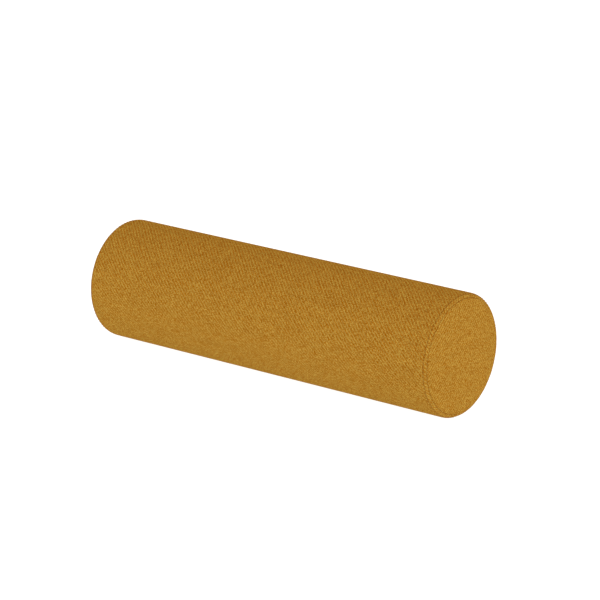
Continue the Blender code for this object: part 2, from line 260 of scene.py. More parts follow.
def lay_cloth(
    name: str,
    outer: np.ndarray,
    flat: np.ndarray,
    inner: np.ndarray | None = None,
    cut: np.ndarray | None = None,
) -> Object:
    """Lays a flat grid over a form and sews up the edges that meet.

    Args:
        name: The piece's name.
        outer: Points of the outer skin, of shape (rows, columns, 3).
        flat: The same points' places on the flat cloth, in metres.
        inner: Points of the inner skin, or None for a piece with no wall.
        cut: True for each cell that is cut out, of shape (rows-1, columns-1).

    Returns:
        The piece, closed wherever it has a wall or wraps round.
    """
    rows, columns = outer.shape[:2]
    deselect()
    bpy.ops.mesh.primitive_grid_add(
        x_subdivisions=columns - 1, y_subdivisions=rows - 1, size=2.0
    )
    piece = settle_object(bpy.context.object, name)
    mesh = piece.data
    start = (points_of(piece) + 1.0) / 2.0
    column = np.rint(start[:, 0] * (columns - 1)).astype(int)
    row = np.rint(start[:, 1] * (rows - 1)).astype(int)
    move_points(piece, outer[row, column])
    corners = corners_of(piece)
    layer = mesh.uv_layers[0]
    layer.name = CLOTH_MAP
    layer.uv.foreach_set("vector", flat[row[corners], column[corners]].ravel())
    number_points(piece, "row", row)
    number_points(piece, "column", column)
    if cut is not None:
        at = corners.reshape(-1, 4)
        choose_faces(piece, cut[row[at].min(1), column[at].min(1)])
        with editing(piece, "KEEP"):
            bpy.ops.mesh.select_mode(type="FACE")
            bpy.ops.mesh.delete(type="FACE")
            bpy.ops.mesh.select_mode(type="VERT")
    outwards = flat_normals(outer) if inner is None else outer - inner
    with editing(piece):
        bpy.ops.mesh.remove_doubles(threshold=0.01 * MM)
    middle = outwards[rows // 2, columns // 3]
    row, column = (numbers_of_points(piece, n) for n in ("row", "column"))
    near = np.argmin((row - rows // 2) ** 2 + (column - columns // 3) ** 2)
    if mesh.vertices[int(near)].normal.dot(Vector(middle)) < 0:
        with editing(piece):
            bpy.ops.mesh.flip_normals()
    if inner is not None:
        apply_modifier(piece, "SOLIDIFY", thickness=0.1 * MM, offset=-1.0)
        half = len(row)
        made = points_of(piece)
        target = outer[row, column]
        swap = np.abs(made[half:] - target).sum() < np.abs(made[:half] - target).sum()
        skins = [outer[row, column], inner[row, column]]
        move_points(piece, np.concatenate(skins[::-1] if swap else skins))
    smooth(piece)
    return piece


def flat_normals(points: np.ndarray) -> np.ndarray:
    """Returns the direction away from the pillow's axis at each point."""
    centre = np.array([0.0, 0.0, float((CAD_BOX[0].z + CAD_BOX[1].z) / 2)])
    return points - centre


def place_copies(piece: Object, places: Sequence[Matrix]) -> Object:
    """Repeats a piece at each place, and joins the copies into it.

    Args:
        piece: The pattern, which is used up.
        places: Where each copy goes, from the pattern's own place.

    Returns:
        One piece with all of the copies, under the pattern's name.
    """
    name, pattern = piece.name, piece.data
    copies = []
    for place in places:
        copy = piece.copy()
        copy.data = pattern.copy()
        copy.data.transform(place)
        bpy.context.scene.collection.objects.link(copy)
        copies.append(copy)
    bpy.data.objects.remove(piece)
    deselect()
    for copy in copies:
        copy.select_set(True)
    bpy.context.view_layer.objects.active = copies[0]
    bpy.ops.object.join()
    return settle_object(bpy.context.object, name)


def soft_floor(values: np.ndarray, level: float, blend: float) -> np.ndarray:
    """Returns the values raised to a level, with a rounded turn into it."""
    above = values - level
    return level + 0.5 * (above + np.sqrt(above**2 + blend**2))


def bump_at(distance: np.ndarray, half_width: float) -> np.ndarray:
    """Returns a bell that is 1 at no distance and fades within a few widths."""
    return np.exp(-((distance / half_width) ** 2))


def both_ways(half: np.ndarray) -> np.ndarray:
    """Returns rows that start at nothing, after the same rows on the other side."""
    return np.concatenate([-half[:0:-1], half])


def turned_edge(distance: np.ndarray, radius: float) -> np.ndarray:
    """Returns how deep a folded edge lies at each distance in from its end."""
    inside = np.clip(radius - distance, 0.0, radius)
    return radius - np.sqrt(radius**2 - inside**2)


# --- the pillow's form --------------------------------------------------------
@dataclass(frozen=True)
class PillowForm:
    """The stuffed pillow's skin: a tube, two rounded rims and two low crowns."""

    length: float = float(CAD_BOX[1].x - CAD_BOX[0].x)
    radius: float = 0.100
    end_crown: float = 0.0035
    rim_radius: float = 0.0106
    floor_press: float = 0.002
    zip_rise: float = math.radians(15.0)
    zip_room: float = 0.0027
    zip_half_turn: float = math.radians(5.0)
    seam_turn: float = math.radians(67.0)
    stitch_turn: float = math.radians(29.0)

    @property
    def axis_z(self) -> float:
        """The height of the pillow's axis."""
        return self.radius - self.floor_press

    @property
    def tube_end(self) -> float:
        """Where the straight tube ends and the rim starts to turn."""
        return self.length / 2 - self.end_crown - self.rim_radius

    @property
    def crown_radius(self) -> float:
        """The radius of the ball that an end's crown is part of."""
        flat = self.radius - self.rim_radius
        return (flat**2 + self.end_crown**2) / (2 * self.end_crown) + self.rim_radius

    @property
    def crown_turn(self) -> float:
        """The angle that a crown covers from its middle to the rim."""
        flat = self.radius - self.rim_radius
        return math.asin(flat / (self.crown_radius - self.rim_radius))

    @property
    def rim_run(self) -> float:
        """The distance over the skin from the tube's end to the crown."""
        return self.rim_radius * (math.pi / 2 - self.crown_turn)

    @property
    def pole(self) -> float:
        """The distance over the skin from the tube's middle to an end's."""
        return self.tube_end + self.rim_run + self.crown_radius * self.crown_turn

    @property
    def seam(self) -> float:
        """Where the tube meets the end discs, as a distance over the skin."""
        return self.tube_end + self.rim_radius * self.seam_turn

    @property
    def stitched(self) -> float:
        """Where the topstitching runs, as a distance over the skin."""
        return self.tube_end + self.rim_radius * self.stitch_turn

    @property
    def zip_turn(self) -> float:
        """The turn at which the zip's middle line runs."""
        return self.zip_rise - math.pi / 2

    @property
    def facet(self) -> float:
        """The distance of the zip's own plane from the axis."""
        return self.radius * math.cos(self.zip_half_turn)

    def rows_to_pole(self, tube: int, rim: int, crown: int) -> np.ndarray:
        """Returns rows from the tube's middle to an end's, with enough on the rim.

        Args:
            tube: How many rows lie on the tube.
            rim: How many steps cross the rim.
            crown: How many rows lie on the crown.

        Returns:
            The rows' distances over the skin.
        """
        turned = self.tube_end + np.linspace(0.0, self.rim_run, rim + 1)
        return np.concatenate([
            np.linspace(0.0, self.tube_end, tube)[:-1], turned,
            np.linspace(turned[-1], self.pole, crown)[1:],
        ])

    def skin(self, along: np.ndarray, turn: np.ndarray, depth: Value) -> np.ndarray:
        """Finds points below the skin.

        Args:
            along: Distances over the skin from the tube's middle.
            turn: Angles round from the top towards -Y.
            depth: How far below the skin, measured square to it.

        Returns:
            The points, with one more axis than the arguments.
        """
        side, run = np.sign(along), np.abs(along)
        rim = np.clip((run - self.tube_end) / self.rim_radius, 0.0, None)
        ball = (self.pole - run) / self.crown_radius
        on_crown = run > self.tube_end + self.rim_run
        nx = np.where(on_crown, np.cos(ball), np.sin(rim))
        nr = np.where(on_crown, np.sin(ball), np.cos(rim))
        flat = self.radius - self.rim_radius
        centre_x = self.length / 2 - self.crown_radius
        x = np.where(
            on_crown,
            centre_x + self.crown_radius * nx,
            np.minimum(run, self.tube_end) + self.rim_radius * nx,
        )
        r = np.where(on_crown, self.crown_radius * nr, flat + self.rim_radius * nr)
        x, r = x - depth * nx, r - depth * nr
        return np.stack(
            [side * x, -r * np.sin(turn), self.axis_z + r * np.cos(turn)], axis=-1
        )

    def outward(self, along: np.ndarray, turn: np.ndarray) -> np.ndarray:
        """Returns the direction square to the skin at each place."""
        return (self.skin(along, turn, 0.0) - self.skin(along, turn, MM)) / MM

    def once_round(self, columns: int) -> np.ndarray:
        """Returns even turns once round the pillow, from the zip to the zip."""
        return self.zip_turn + np.linspace(0.0, FULL_TURN, columns + 1)

    def disc_cloth(self, along: np.ndarray, turn: np.ndarray) -> np.ndarray:
        """Returns each place on an end disc as a point of its flat cloth."""
        reach = self.pole - np.abs(along)
        return np.stack([-reach * np.sin(turn), reach * np.cos(turn)], axis=-1)

    def rest(self, points: np.ndarray, depth: Value, blend: float = 0.4 * MM) -> np.ndarray:
        """Presses points flat where the pillow lies on the floor.

        Args:
            points: The points to press.
            depth: How far below the skin their layer lies.
            blend: How gently the flat starts.

        Returns:
            The pressed points.
        """
        points = points.copy()
        points[..., 2] = soft_floor(points[..., 2] - depth, 0.0, blend) + depth
        return points

    def clear_zip(self, points: np.ndarray, depth: Value) -> np.ndarray:
        """Presses points of an inner layer flat behind the zip.

        Args:
            points: The points to press.
            depth: How far below the skin their layer lies.

        Returns:
            The pressed points.
        """
        out = np.array([0.0, math.cos(self.zip_rise), math.sin(self.zip_rise)])
        height = (points - np.array([0.0, 0.0, self.axis_z])) @ out
        level = -(self.facet - depth - self.zip_room)
        pressed = -(soft_floor(-height - level, 0.0, 0.8 * MM) + level)
        return points + (pressed - height)[..., None] * out

    def zip_point(self, x: Value, across: Value, out: Value) -> np.ndarray:
        """Finds a point in the zip's own frame.

        Args:
            x: Distance along the zip.
            across: Distance across it, downwards.
            out: Distance out of the zip's plane.

        Returns:
            The point in the row frame.
        """
        rise_y, rise_z = math.cos(self.zip_rise), math.sin(self.zip_rise)
        height = np.asarray(out) + self.facet
        x, across, height = np.broadcast_arrays(x, across, height)
        return np.stack(
            [
                x.astype(float),
                height * rise_y + across * rise_z,
                self.axis_z + height * rise_z - across * rise_y,
            ],
            axis=-1,
        )


@dataclass(frozen=True)
class Fullness:
    """How far the filling pushes each part of the skin out, from a simulation."""

    along: np.ndarray
    turn: np.ndarray
    push: np.ndarray

    def at(self, along: np.ndarray, turn: np.ndarray) -> np.ndarray:
        """Returns the push at each place, read between the known ones.

        Args:
            along: Distances over the skin from the tube's middle.
            turn: Angles round from the top towards -Y.

        Returns:
            The push at each place, in metres.
        """
        columns = len(self.turn) - 1
        place = (turn - self.turn[0]) / FULL_TURN % 1.0 * columns
        left = np.floor(place).astype(int) % columns
        row = np.interp(along, self.along, np.arange(len(self.along)))
        top = np.clip(np.floor(row).astype(int), 0, len(self.along) - 2)
        low_share, side_share = row - top, place - np.floor(place)
        upper = self.push[top, left] * (1 - side_share)
        upper += self.push[top, left + 1] * side_share
        lower = self.push[top + 1, left] * (1 - side_share)
        lower += self.push[top + 1, left + 1] * side_share
        return upper * (1 - low_share) + lower * low_share


@dataclass(frozen=True)
class Stuffing:
    """Stuffs the cover by a short cloth simulation, with its seams held."""

    form: PillowForm
    columns: int = 72
    pressure: float = 4.0
    frames: int = 20
    most: float = 0.5 * MM
    held_at: float = 0.7
    held_half: float = 3.0 * MM

    def run(self) -> Fullness:
        """Returns the fullness.

        Returns:
            The push at each place of the skin.
        """
        form = self.form
        half = form.rows_to_pole(42, 7, 12)
        along = both_ways(half)
        turn = form.once_round(self.columns)
        grid_along, grid_turn = np.meshgrid(along, turn, indexing="ij")
        start = form.rest(form.skin(grid_along, grid_turn, 0.2 * MM), 0.0)
        flat = np.stack([grid_along, grid_turn * form.radius], axis=-1)
        skin = lay_cloth("stuffed_skin", start, flat)
        before = points_of(skin)
        self.pin_seams(skin)
        self.simulate(skin)
        moved = self.result(skin)
        bpy.data.objects.remove(skin)
        out = start - form.skin(grid_along, grid_turn, 1.2 * MM)
        return Fullness(along, turn, self.push_of(start, before, moved, out / MM))

    def pin_seams(self, skin: Object) -> None:
        """Holds the rim seams and the underside of the skin.

        Args:
            skin: The skin that is stuffed.
        """
        points = points_of(skin)
        held = skin.vertex_groups.new(name="held")
        seam_x = self.form.tube_end + self.held_at * self.form.rim_radius
        near = np.abs(np.abs(points[:, 0]) - seam_x) < self.held_half
        near |= points[:, 2] < 1.0 * MM
        held.add([int(i) for i in np.flatnonzero(near)], 1.0, "REPLACE")

    def simulate(self, skin: Object) -> None:
        """Inflates the skin for a few frames.

        Args:
            skin: The skin that is stuffed.
        """
        cloth = skin.modifiers.new("cloth", "CLOTH")
        settings = cloth.settings
        settings.use_pressure = True
        settings.uniform_pressure_force = self.pressure
        settings.effector_weights.gravity = 0.0
        settings.vertex_group_mass = "held"
        cloth.point_cache.frame_start = 1
        cloth.point_cache.frame_end = self.frames
        scene = bpy.context.scene
        for step in range(1, self.frames + 1):
            scene.frame_set(step)

    def result(self, skin: Object) -> np.ndarray:
        """Applies the simulation and returns the moved points.

        Args:
            skin: The skin that is stuffed.

        Returns:
            The skin's points.
        """
        activate(skin)
        bpy.ops.object.modifier_apply(modifier="cloth")
        bpy.context.scene.frame_set(1)
        return points_of(skin)

    def push_of(
        self,
        start: np.ndarray,
        before: np.ndarray,
        moved: np.ndarray,
        out: np.ndarray,
    ) -> np.ndarray:
        """Turns the moved points into a capped push for each place.

        Args:
            start: The grid's points before they were sewn up.
            before: The sewn skin's points before the simulation.
            moved: The same points after it.
            out: The skin's outward direction at each of the grid's points.

        Returns:
            The push along the skin's normal for each of the grid's points.
        """
        tree = kdtree.KDTree(len(before))
        for index, point in enumerate(before):
            tree.insert(Vector(point), index)
        tree.balance()
        owner = [tree.find(Vector(point))[1] for point in start.reshape(-1, 3)]
        shift = (moved - before)[owner].reshape(start.shape)
        return self.most * np.tanh((shift * out).sum(-1) / self.most)


# --- finishes -----------------------------------------------------------------
class Graph:
    """A material's nodes, written as calls that return their outputs."""

    def __init__(self, name: str) -> None:
        """Starts a material with its own shader.

        Args:
            name: The material's name.
        """
        self.material = bpy.data.materials.new(name)
        self.material.use_nodes = True
        self.nodes = self.material.node_tree.nodes
        self.links = self.material.node_tree.links
        self.shader = self.nodes["Principled BSDF"]

    def feed(self, socket: Socket, value: Value | Sequence[float]) -> None:
        """Links an output to a socket, or sets the socket to a constant.

        Args:
            socket: The socket to fill.
            value: An output, or a constant.
        """
        if isinstance(value, bpy.types.NodeSocket):
            self.links.new(value, socket)
        else:
            socket.default_value = value

    def node(self, kind: str, **settings: object) -> bpy.types.Node:
        """Adds a node with the given settings.

        Args:
            kind: The node's type, after ShaderNode.
            settings: Its settings by name.

        Returns:
            The node.
        """
        made = self.nodes.new("ShaderNode" + kind)
        for key, value in settings.items():
            setattr(made, key, value)
        return made

    def math(self, operation: str, a: Value, b: Value = 0.0, c: Value = 0.0) -> Socket:
        """Returns the result of one sum on up to three numbers.

        Args:
            operation: The sum's name.
            a: The first number.
            b: The second.
            c: The third.

        Returns:
            The result.
        """
        made = self.node("Math", operation=operation)
        for socket, value in zip(made.inputs, (a, b, c), strict=True):
            self.feed(socket, value)
        return made.outputs[0]

    def place(self) -> Socket:
        """Returns the place on the piece, in metres."""
        return self.node("TexCoord").outputs["Object"]

    def cloth_place(self) -> Socket:
        """Returns the place on the flat cloth, in metres."""
        return self.node("UVMap", uv_map=CLOTH_MAP).outputs[0]

    def axes(self, place: Socket) -> tuple[Socket, Socket, Socket]:
        """Returns the three parts of a place.

        Args:
            place: The place to take apart.

        Returns:
            Its X, Y and Z.
        """
        made = self.node("SeparateXYZ")
        self.links.new(place, made.inputs[0])
        return made.outputs[0], made.outputs[1], made.outputs[2]

    def stretch(self, place: Socket, scale: tuple[float, float, float]) -> Socket:
        """Returns a place scaled along each of its parts.

        Args:
            place: The place to scale.
            scale: How much to scale each part.

        Returns:
            The scaled place.
        """
        made = self.node("Mapping")
        self.links.new(place, made.inputs["Vector"])
        made.inputs["Scale"].default_value = scale
        return made.outputs[0]

    def cloud(self, place: Socket, scale: float, detail: float = 2.0) -> Socket:
        """Returns soft noise about one half, its features 1 / scale metres wide.

        Args:
            place: Where the noise is read.
            scale: Features for each metre.
            detail: How many finer layers it has.

        Returns:
            The noise.
        """
        made = self.node("TexNoise")
        self.links.new(place, made.inputs["Vector"])
        made.inputs["Scale"].default_value = scale
        made.inputs["Detail"].default_value = detail
        return made.outputs[0]

    def grain(self, place: Socket, size: float) -> Socket:
        """Returns one random number from 0 to 1 for each ragged grain.

        Args:
            place: Where the grains are read.
            size: A grain's width in metres.

        Returns:
            The grain's number.
        """
        ragged = self.node("TexNoise")
        self.links.new(place, ragged.inputs["Vector"])
        ragged.inputs["Scale"].default_value = 2.2 / size
        shift = self.node("VectorMath", operation="MULTIPLY_ADD")
        self.links.new(ragged.outputs["Color"], shift.inputs[0])
        shift.inputs[1].default_value = (1.1 * size,) * 3
        self.links.new(place, shift.inputs[2])
        made = self.node("TexVoronoi", voronoi_dimensions="2D")
        self.links.new(shift.outputs[0], made.inputs["Vector"])
        made.inputs["Scale"].default_value = 1 / size
        return self.axes(made.outputs["Color"])[0]

    def chance(self, number: Socket) -> Socket:
        """Returns one random number from 0 to 1 for each whole number.

        Args:
            number: The whole number.

        Returns:
            Its random number.
        """
        made = self.node("TexWhiteNoise", noise_dimensions="1D")
        self.links.new(number, made.inputs["W"])
        return made.outputs["Value"]

    def blend(self, share: Value, first: object, second: object) -> Socket:
        """Returns a colour between two colours.

        Args:
            share: 0 for the first colour, 1 for the second.
            first: One colour.
            second: The other.

        Returns:
            The colour between them.
        """
        made = self.node("Mix", data_type="RGBA")
        self.feed(made.inputs["Factor"], share)
        self.feed(made.inputs["A"], first)
        self.feed(made.inputs["B"], second)
        return made.outputs["Result"]

    def paint(self, colour: Socket, light: Socket) -> None:
        """Gives the shader a colour times a number.

        Args:
            colour: The colour.
            light: The number.
        """
        made = self.node("VectorMath", operation="SCALE")
        self.links.new(colour, made.inputs[0])
        self.links.new(light, made.inputs["Scale"])
        self.links.new(made.outputs[0], self.shader.inputs["Base Color"])

    def relief(self, height: Socket, depth: float, strength: float = 1.0) -> None:
        """Gives the shader a relief of the given depth in metres.

        Args:
            height: The relief, from 0 to 1.
            depth: Its depth in metres.
            strength: How much of it shows.
        """
        made = self.node("Bump")
        made.inputs["Strength"].default_value = strength
        made.inputs["Distance"].default_value = depth
        self.links.new(height, made.inputs["Height"])
        self.links.new(made.outputs[0], self.shader.inputs["Normal"])

    def set(self, **constants: float | Colour) -> None:
        """Sets the shader's own sockets, named with _ for a space.

        Args:
            constants: The values by socket.
        """
        for key, value in constants.items():
            socket = self.shader.inputs[key.replace("_", " ")]
            wide = isinstance(value, tuple) and len(value) == 3
            socket.default_value = (*value, 1.0) if wide else value


def rgba(colour: Colour, share: float = 1.0) -> tuple[float, ...]:
    """Returns a share of a colour, with its alpha."""
    return (*(share * part for part in colour), 1.0)


@dataclass(frozen=True)
class WovenFinish:
    """Woven cloth: crossing threads with their own tints and slubs, and painted shade in the
    gaps between them.
    """

    name: str
    warp: Colour
    weft: Colour
    pitch: tuple[float, float]
    weave: Weave
    # gap: how bright the gaps between threads stay; their darkening is painted shade
    gap: float = 0.6
    thread_tint: float = 0.10
    mottle: float = 0.10
    relief: float = 0.35 * MM
    roughness: float = 0.9
    sheen: float = 0.0
    wander: float = 0.12
    fleck: float = 0.2
    contrast: float = 1.0
    grain: float = 0.3 * MM
    spread: float = 0.3

    def material(self) -> bpy.types.Material:
        """Returns the cloth's material, which reads the flat cloth's map.

        Returns:
            The material.
        """
        g = Graph(self.name)
        cloth = g.cloth_place()
        across, down, _ = g.axes(cloth)
        drift = g.cloud(cloth, 70.0, 3.0)
        drift = g.math("MULTIPLY_ADD", drift, 2 * self.wander, -self.wander)
        a = g.math("MULTIPLY_ADD", across, 1 / self.pitch[0], drift)
        b = g.math("MULTIPLY_ADD", down, 1 / self.pitch[1], drift)
        height, on_warp, tint = self.threads(g, a, b)
        fibre = g.cloud(cloth, 2600.0, 3.0)
        mottle = g.cloud(g.stretch(cloth, (0.2, 1.6, 1.0)), 55.0, 2.0)
        along = g.blend(on_warp, g.stretch(cloth, (0.7, 1.25, 1.0)),
                        g.stretch(cloth, (1.25, 0.7, 1.0)))
        grain = g.math("SUBTRACT", g.grain(along, self.grain), 0.5)
        # The weft's deeper colour on the under floats is partly the yarn's tone and partly
        # painted shade on these lower floats
        share = g.math("MULTIPLY_ADD", on_warp, self.contrast, 0.5 - self.contrast / 2)
        share = g.math("MULTIPLY_ADD", grain, self.spread, share)
        colour = g.blend(share, rgba(self.weft), rgba(self.warp))
        # Painted shade: the threads darken towards their edges and into the gaps between them
        light = g.math("MULTIPLY_ADD", height, 1 - self.gap, self.gap)
        uneven = g.math("MULTIPLY_ADD", grain, 0.35 * self.spread, 1.0)
        light = g.math("MULTIPLY", light, uneven)
        light = g.math("MULTIPLY", light, tint)
        light = g.math("MULTIPLY", light, g.math("MULTIPLY_ADD", fibre, 0.5, 0.75))
        shade = g.math("MULTIPLY_ADD", mottle, 2 * self.mottle, 1 - self.mottle)
        light = g.math("MULTIPLY", light, shade)
        g.paint(colour, light)
        g.relief(g.math("MULTIPLY_ADD", fibre, 0.25, height), self.relief)
        g.set(Roughness=self.roughness, Sheen_Weight=self.sheen, Sheen_Roughness=0.5)
        g.set(Sheen_Tint=self.warp, Specular_IOR_Level=0.0)
        return g.material

    def threads(self, g: Graph, a: Socket, b: Socket) -> tuple[Socket, Socket, Socket]:
        """Weaves the threads.

        Args:
            g: The material's nodes.
            a: The place across the warp, in threads.
            b: The place across the weft, in threads.

        Returns:
            The threads' height, 1 where the warp is on top, and a tint.
        """
        repeat, float_run = self.weave.value
        warp, weft = g.math("FLOOR", a), g.math("FLOOR", b)
        in_warp, in_weft = g.math("FRACT", a), g.math("FRACT", b)
        step = g.math("FLOORED_MODULO", g.math("SUBTRACT", warp, weft), float(repeat))
        on_warp = g.math("LESS_THAN", step, float_run - 0.5)
        run = g.math("SUBTRACT", float_run - 1.0, step)
        run = g.math("DIVIDE", g.math("ADD", run, in_weft), float(float_run))
        over = g.math("MULTIPLY", self.round(g, in_warp), self.round(g, run))
        run = g.math("ADD", g.math("SUBTRACT", step, float(float_run)), in_warp)
        run = g.math("DIVIDE", run, float(repeat - float_run))
        under = g.math("MULTIPLY", self.round(g, in_weft), self.round(g, run))
        height = self.pick(g, on_warp, over, under)
        one = g.chance(g.math("MULTIPLY_ADD", warp, 1.37, 0.4))
        two = g.chance(g.math("MULTIPLY_ADD", weft, 2.11, 7.3))
        tint = self.pick(g, on_warp, one, two)
        tint = g.math("MULTIPLY_ADD", tint, 2 * self.thread_tint, 1 - self.thread_tint)
        order = g.math("DIVIDE", g.math("SUBTRACT", warp, weft), float(repeat))
        own = g.math("MULTIPLY_ADD", g.math("FLOOR", order), 17.3, 3.1)
        own = g.math("MULTIPLY_ADD", self.pick(g, on_warp, warp, weft), 2.37, own)
        fleck = g.math("POWER", g.chance(g.math("ADD", own, on_warp)), 2.2)
        fleck = g.math("MULTIPLY_ADD", fleck, self.fleck, 1 - self.fleck / 3.2)
        return height, on_warp, g.math("MULTIPLY", tint, fleck)

    def round(self, g: Graph, share: Socket) -> Socket:
        """Returns a thread's rounded height at each share of its width."""
        arch = g.math("MULTIPLY", share, g.math("SUBTRACT", 1.0, share))
        return g.math("SQRT", g.math("MAXIMUM", g.math("MULTIPLY", arch, 4.0), 0.0))

    def pick(self, g: Graph, first: Socket, one: Socket, other: Socket) -> Socket:
        """Returns one number where first is 1, and the other where it is 0."""
        return g.math("MULTIPLY_ADD", first, g.math("SUBTRACT", one, other), other)


@dataclass(frozen=True)
class ThreadFinish:
    """Sewing thread: plies twisted round each other, with painted shade in the grooves
    between them.
    """

    name: str
    colour: Colour
    plies: float = 900.0

    def material(self) -> bpy.types.Material:
        """Returns the thread's material, which reads its length and turn.

        Returns:
            The material.
        """
        g = Graph(self.name)
        run, turn, _ = g.axes(g.cloth_place())
        twist = g.math("MULTIPLY_ADD", run, self.plies, turn)
        ply = g.math("PINGPONG", twist, 0.5)
        fuzz = g.cloud(g.place(), 3000.0, 3.0)
        # Painted shade: the thread darkens in the grooves between its plies
        light = g.math("MULTIPLY_ADD", ply, 0.7, 0.6)
        light = g.math("MULTIPLY", light, g.math("MULTIPLY_ADD", fuzz, 0.4, 0.8))
        worn = g.blend(fuzz, rgba(self.colour), rgba(self.colour, 0.6))
        g.paint(worn, light)
        g.relief(g.math("MULTIPLY_ADD", fuzz, 0.3, ply), 0.08 * MM)
        g.set(Roughness=0.8, Specular_IOR_Level=0.1)
        return g.material


@dataclass(frozen=True)
class NylonFinish:
    """Smooth moulded or drawn nylon with fine drawing lines."""

    name: str
    colour: Colour

    def material(self) -> bpy.types.Material:
        """Returns the nylon's material.

        Returns:
            The material.
        """
        g = Graph(self.name)
        grime = g.cloud(g.place(), 350.0, 4.0)
        lines = g.cloud(g.stretch(g.place(), (1.0, 9.0, 9.0)), 1500.0, 2.0)
        light = g.math("MULTIPLY_ADD", grime, 0.5, 0.75)
        base = g.blend(lines, rgba(self.colour), rgba(self.colour, 0.8))
        g.paint(base, light)
        g.feed(g.shader.inputs["Roughness"], g.math("MULTIPLY_ADD", grime, 0.3, 0.22))
        g.relief(lines, 0.02 * MM)
        g.set(Coat_Weight=0.15, Coat_Roughness=0.3)
        return g.material


@dataclass(frozen=True)
class MetalFinish:
    """Plated metal with handling scratches and a slightly uneven shine."""

    name: str
    colour: Colour

    def material(self) -> bpy.types.Material:
        """Returns the metal's material.

        Returns:
            The material.
        """
        g = Graph(self.name)
        spots = g.cloud(g.place(), 420.0, 5.0)
        scratch = g.cloud(g.stretch(g.place(), (1.0, 14.0, 14.0)), 900.0, 4.0)
        worn = g.blend(scratch, rgba(self.colour), rgba(self.colour, 0.72))
        g.paint(worn, g.math("MULTIPLY_ADD", spots, 0.3, 0.85))
        g.feed(g.shader.inputs["Roughness"], g.math("MULTIPLY_ADD", spots, 0.35, 0.14))
        g.relief(scratch, 0.015 * MM)
        g.set(Metallic=1.0)
        return g.material


@dataclass(frozen=True)
class FoamFinish:
    """Open-celled foam: small pores of many sizes, with painted shade in the pores."""

    name: str
    colour: Colour
    pores: float = 700.0

    def material(self) -> bpy.types.Material:
        """Returns the foam's material.

        Returns:
            The material.
        """
        g = Graph(self.name)
        cells = g.node("TexVoronoi")
        g.links.new(g.place(), cells.inputs["Vector"])
        cells.inputs["Scale"].default_value = self.pores
        cloud = g.cloud(g.place(), 24.0, 3.0)
        wall = g.math("MINIMUM", g.math("MULTIPLY", cells.outputs["Distance"], 1.6), 1.0)
        # Painted shade: the foam darkens into each pore
        light = g.math("MULTIPLY_ADD", wall, 0.45, 0.6)
        aged = g.blend(cloud, rgba(self.colour), rgba((0.80, 0.66, 0.38)))
        g.paint(aged, light)
        g.relief(wall, 0.4 * MM)
        g.set(Roughness=0.95, Specular_IOR_Level=0.15)
        return g.material


@dataclass(frozen=True)
class WaddingFinish:
    """Fluffy fibre wadding: long soft strands over a cloudy base, with painted shade between
    the strands.
    """

    name: str
    colour: Colour

    def material(self) -> bpy.types.Material:
        """Returns the wadding's material.

        Returns:
            The material.
        """
        g = Graph(self.name)
        strands = g.cloud(g.stretch(g.place(), (0.25, 1.0, 1.0)), 1400.0, 5.0)
        cross = g.cloud(g.stretch(g.place(), (1.0, 0.3, 0.3)), 900.0, 5.0)
        tufts = g.cloud(g.place(), 60.0, 3.0)
        hair = g.math("MULTIPLY", strands, g.math("ADD", cross, 0.5))
        # Painted shade: the wadding darkens between its strands
        light = g.math("MULTIPLY_ADD", hair, 0.5, 0.72)
        shade = g.blend(tufts, rgba(self.colour), rgba((0.74, 0.74, 0.70)))
        g.paint(shade, light)
        g.relief(hair, 0.8 * MM, 0.8)
        g.set(Roughness=1.0, Sheen_Weight=0.4, Sheen_Roughness=0.6, Specular_IOR_Level=0.1)
        return g.material


STRAW = (0.440, 0.286, 0.053)
# The weft's deep mustard: partly the yarn's tone, partly painted shade on the lower weft
# floats
DEEP_MUSTARD_AND_FLOAT_SHADE = (0.382, 0.121, 0.0016)
UPHOLSTERY = WovenFinish(
    "mustard_twill", STRAW, DEEP_MUSTARD_AND_FLOAT_SHADE, (1.75 * MM, 1.671 * MM), Weave.TWILL,
    mottle=0.045, thread_tint=0.05, wander=0.08, fleck=0.08,
    contrast=0.70, grain=0.80 * MM, spread=1.75,
)
# Each weft colour below is a little deeper too, partly painted shade on the lower weft floats
CALICO = WovenFinish(
    "natural_calico", (0.80, 0.76, 0.66), (0.74, 0.69, 0.58),
    (0.55 * MM, 0.55 * MM), Weave.PLAIN, gap=0.75, relief=0.12 * MM,
)
TAPE = WovenFinish(
    "zip_tape_twill", (0.330, 0.155, 0.025), (0.27, 0.125, 0.02),
    (0.42 * MM, 0.42 * MM), Weave.TWILL, gap=0.65, relief=0.12 * MM, fleck=0.3,
)
SATIN = WovenFinish(
    "label_satin", (0.83, 0.83, 0.81), (0.72, 0.72, 0.70),
    (0.30 * MM, 0.20 * MM), Weave.TWILL, gap=0.85, relief=0.04 * MM,
    roughness=0.45, sheen=0.3, mottle=0.04,
)
TOPSTITCH = ThreadFinish("mustard_topstitch", (0.360, 0.150, 0.012))
SEAM_THREAD = ThreadFinish("seam_thread", (0.340, 0.130, 0.008))
NYLON = NylonFinish("zip_coil_nylon", (0.300, 0.140, 0.022))
NICKEL = MetalFinish("zip_nickel", (0.46, 0.45, 0.42))
FOAM = FoamFinish("cut_foam", (0.84, 0.79, 0.60))
WADDING = WaddingFinish("polyester_wadding", (0.87, 0.87, 0.85))


def dress(piece: Object, finish: object) -> Object:
    """Gives a piece its one finish.

    Args:
        piece: The piece to dress.
        finish: Any of the finishes above.

    Returns:
        The same piece.
    """
    made = bpy.data.materials.get(finish.name) or finish.material()
    piece.data.materials.clear()
    piece.data.materials.append(made)
    return piece


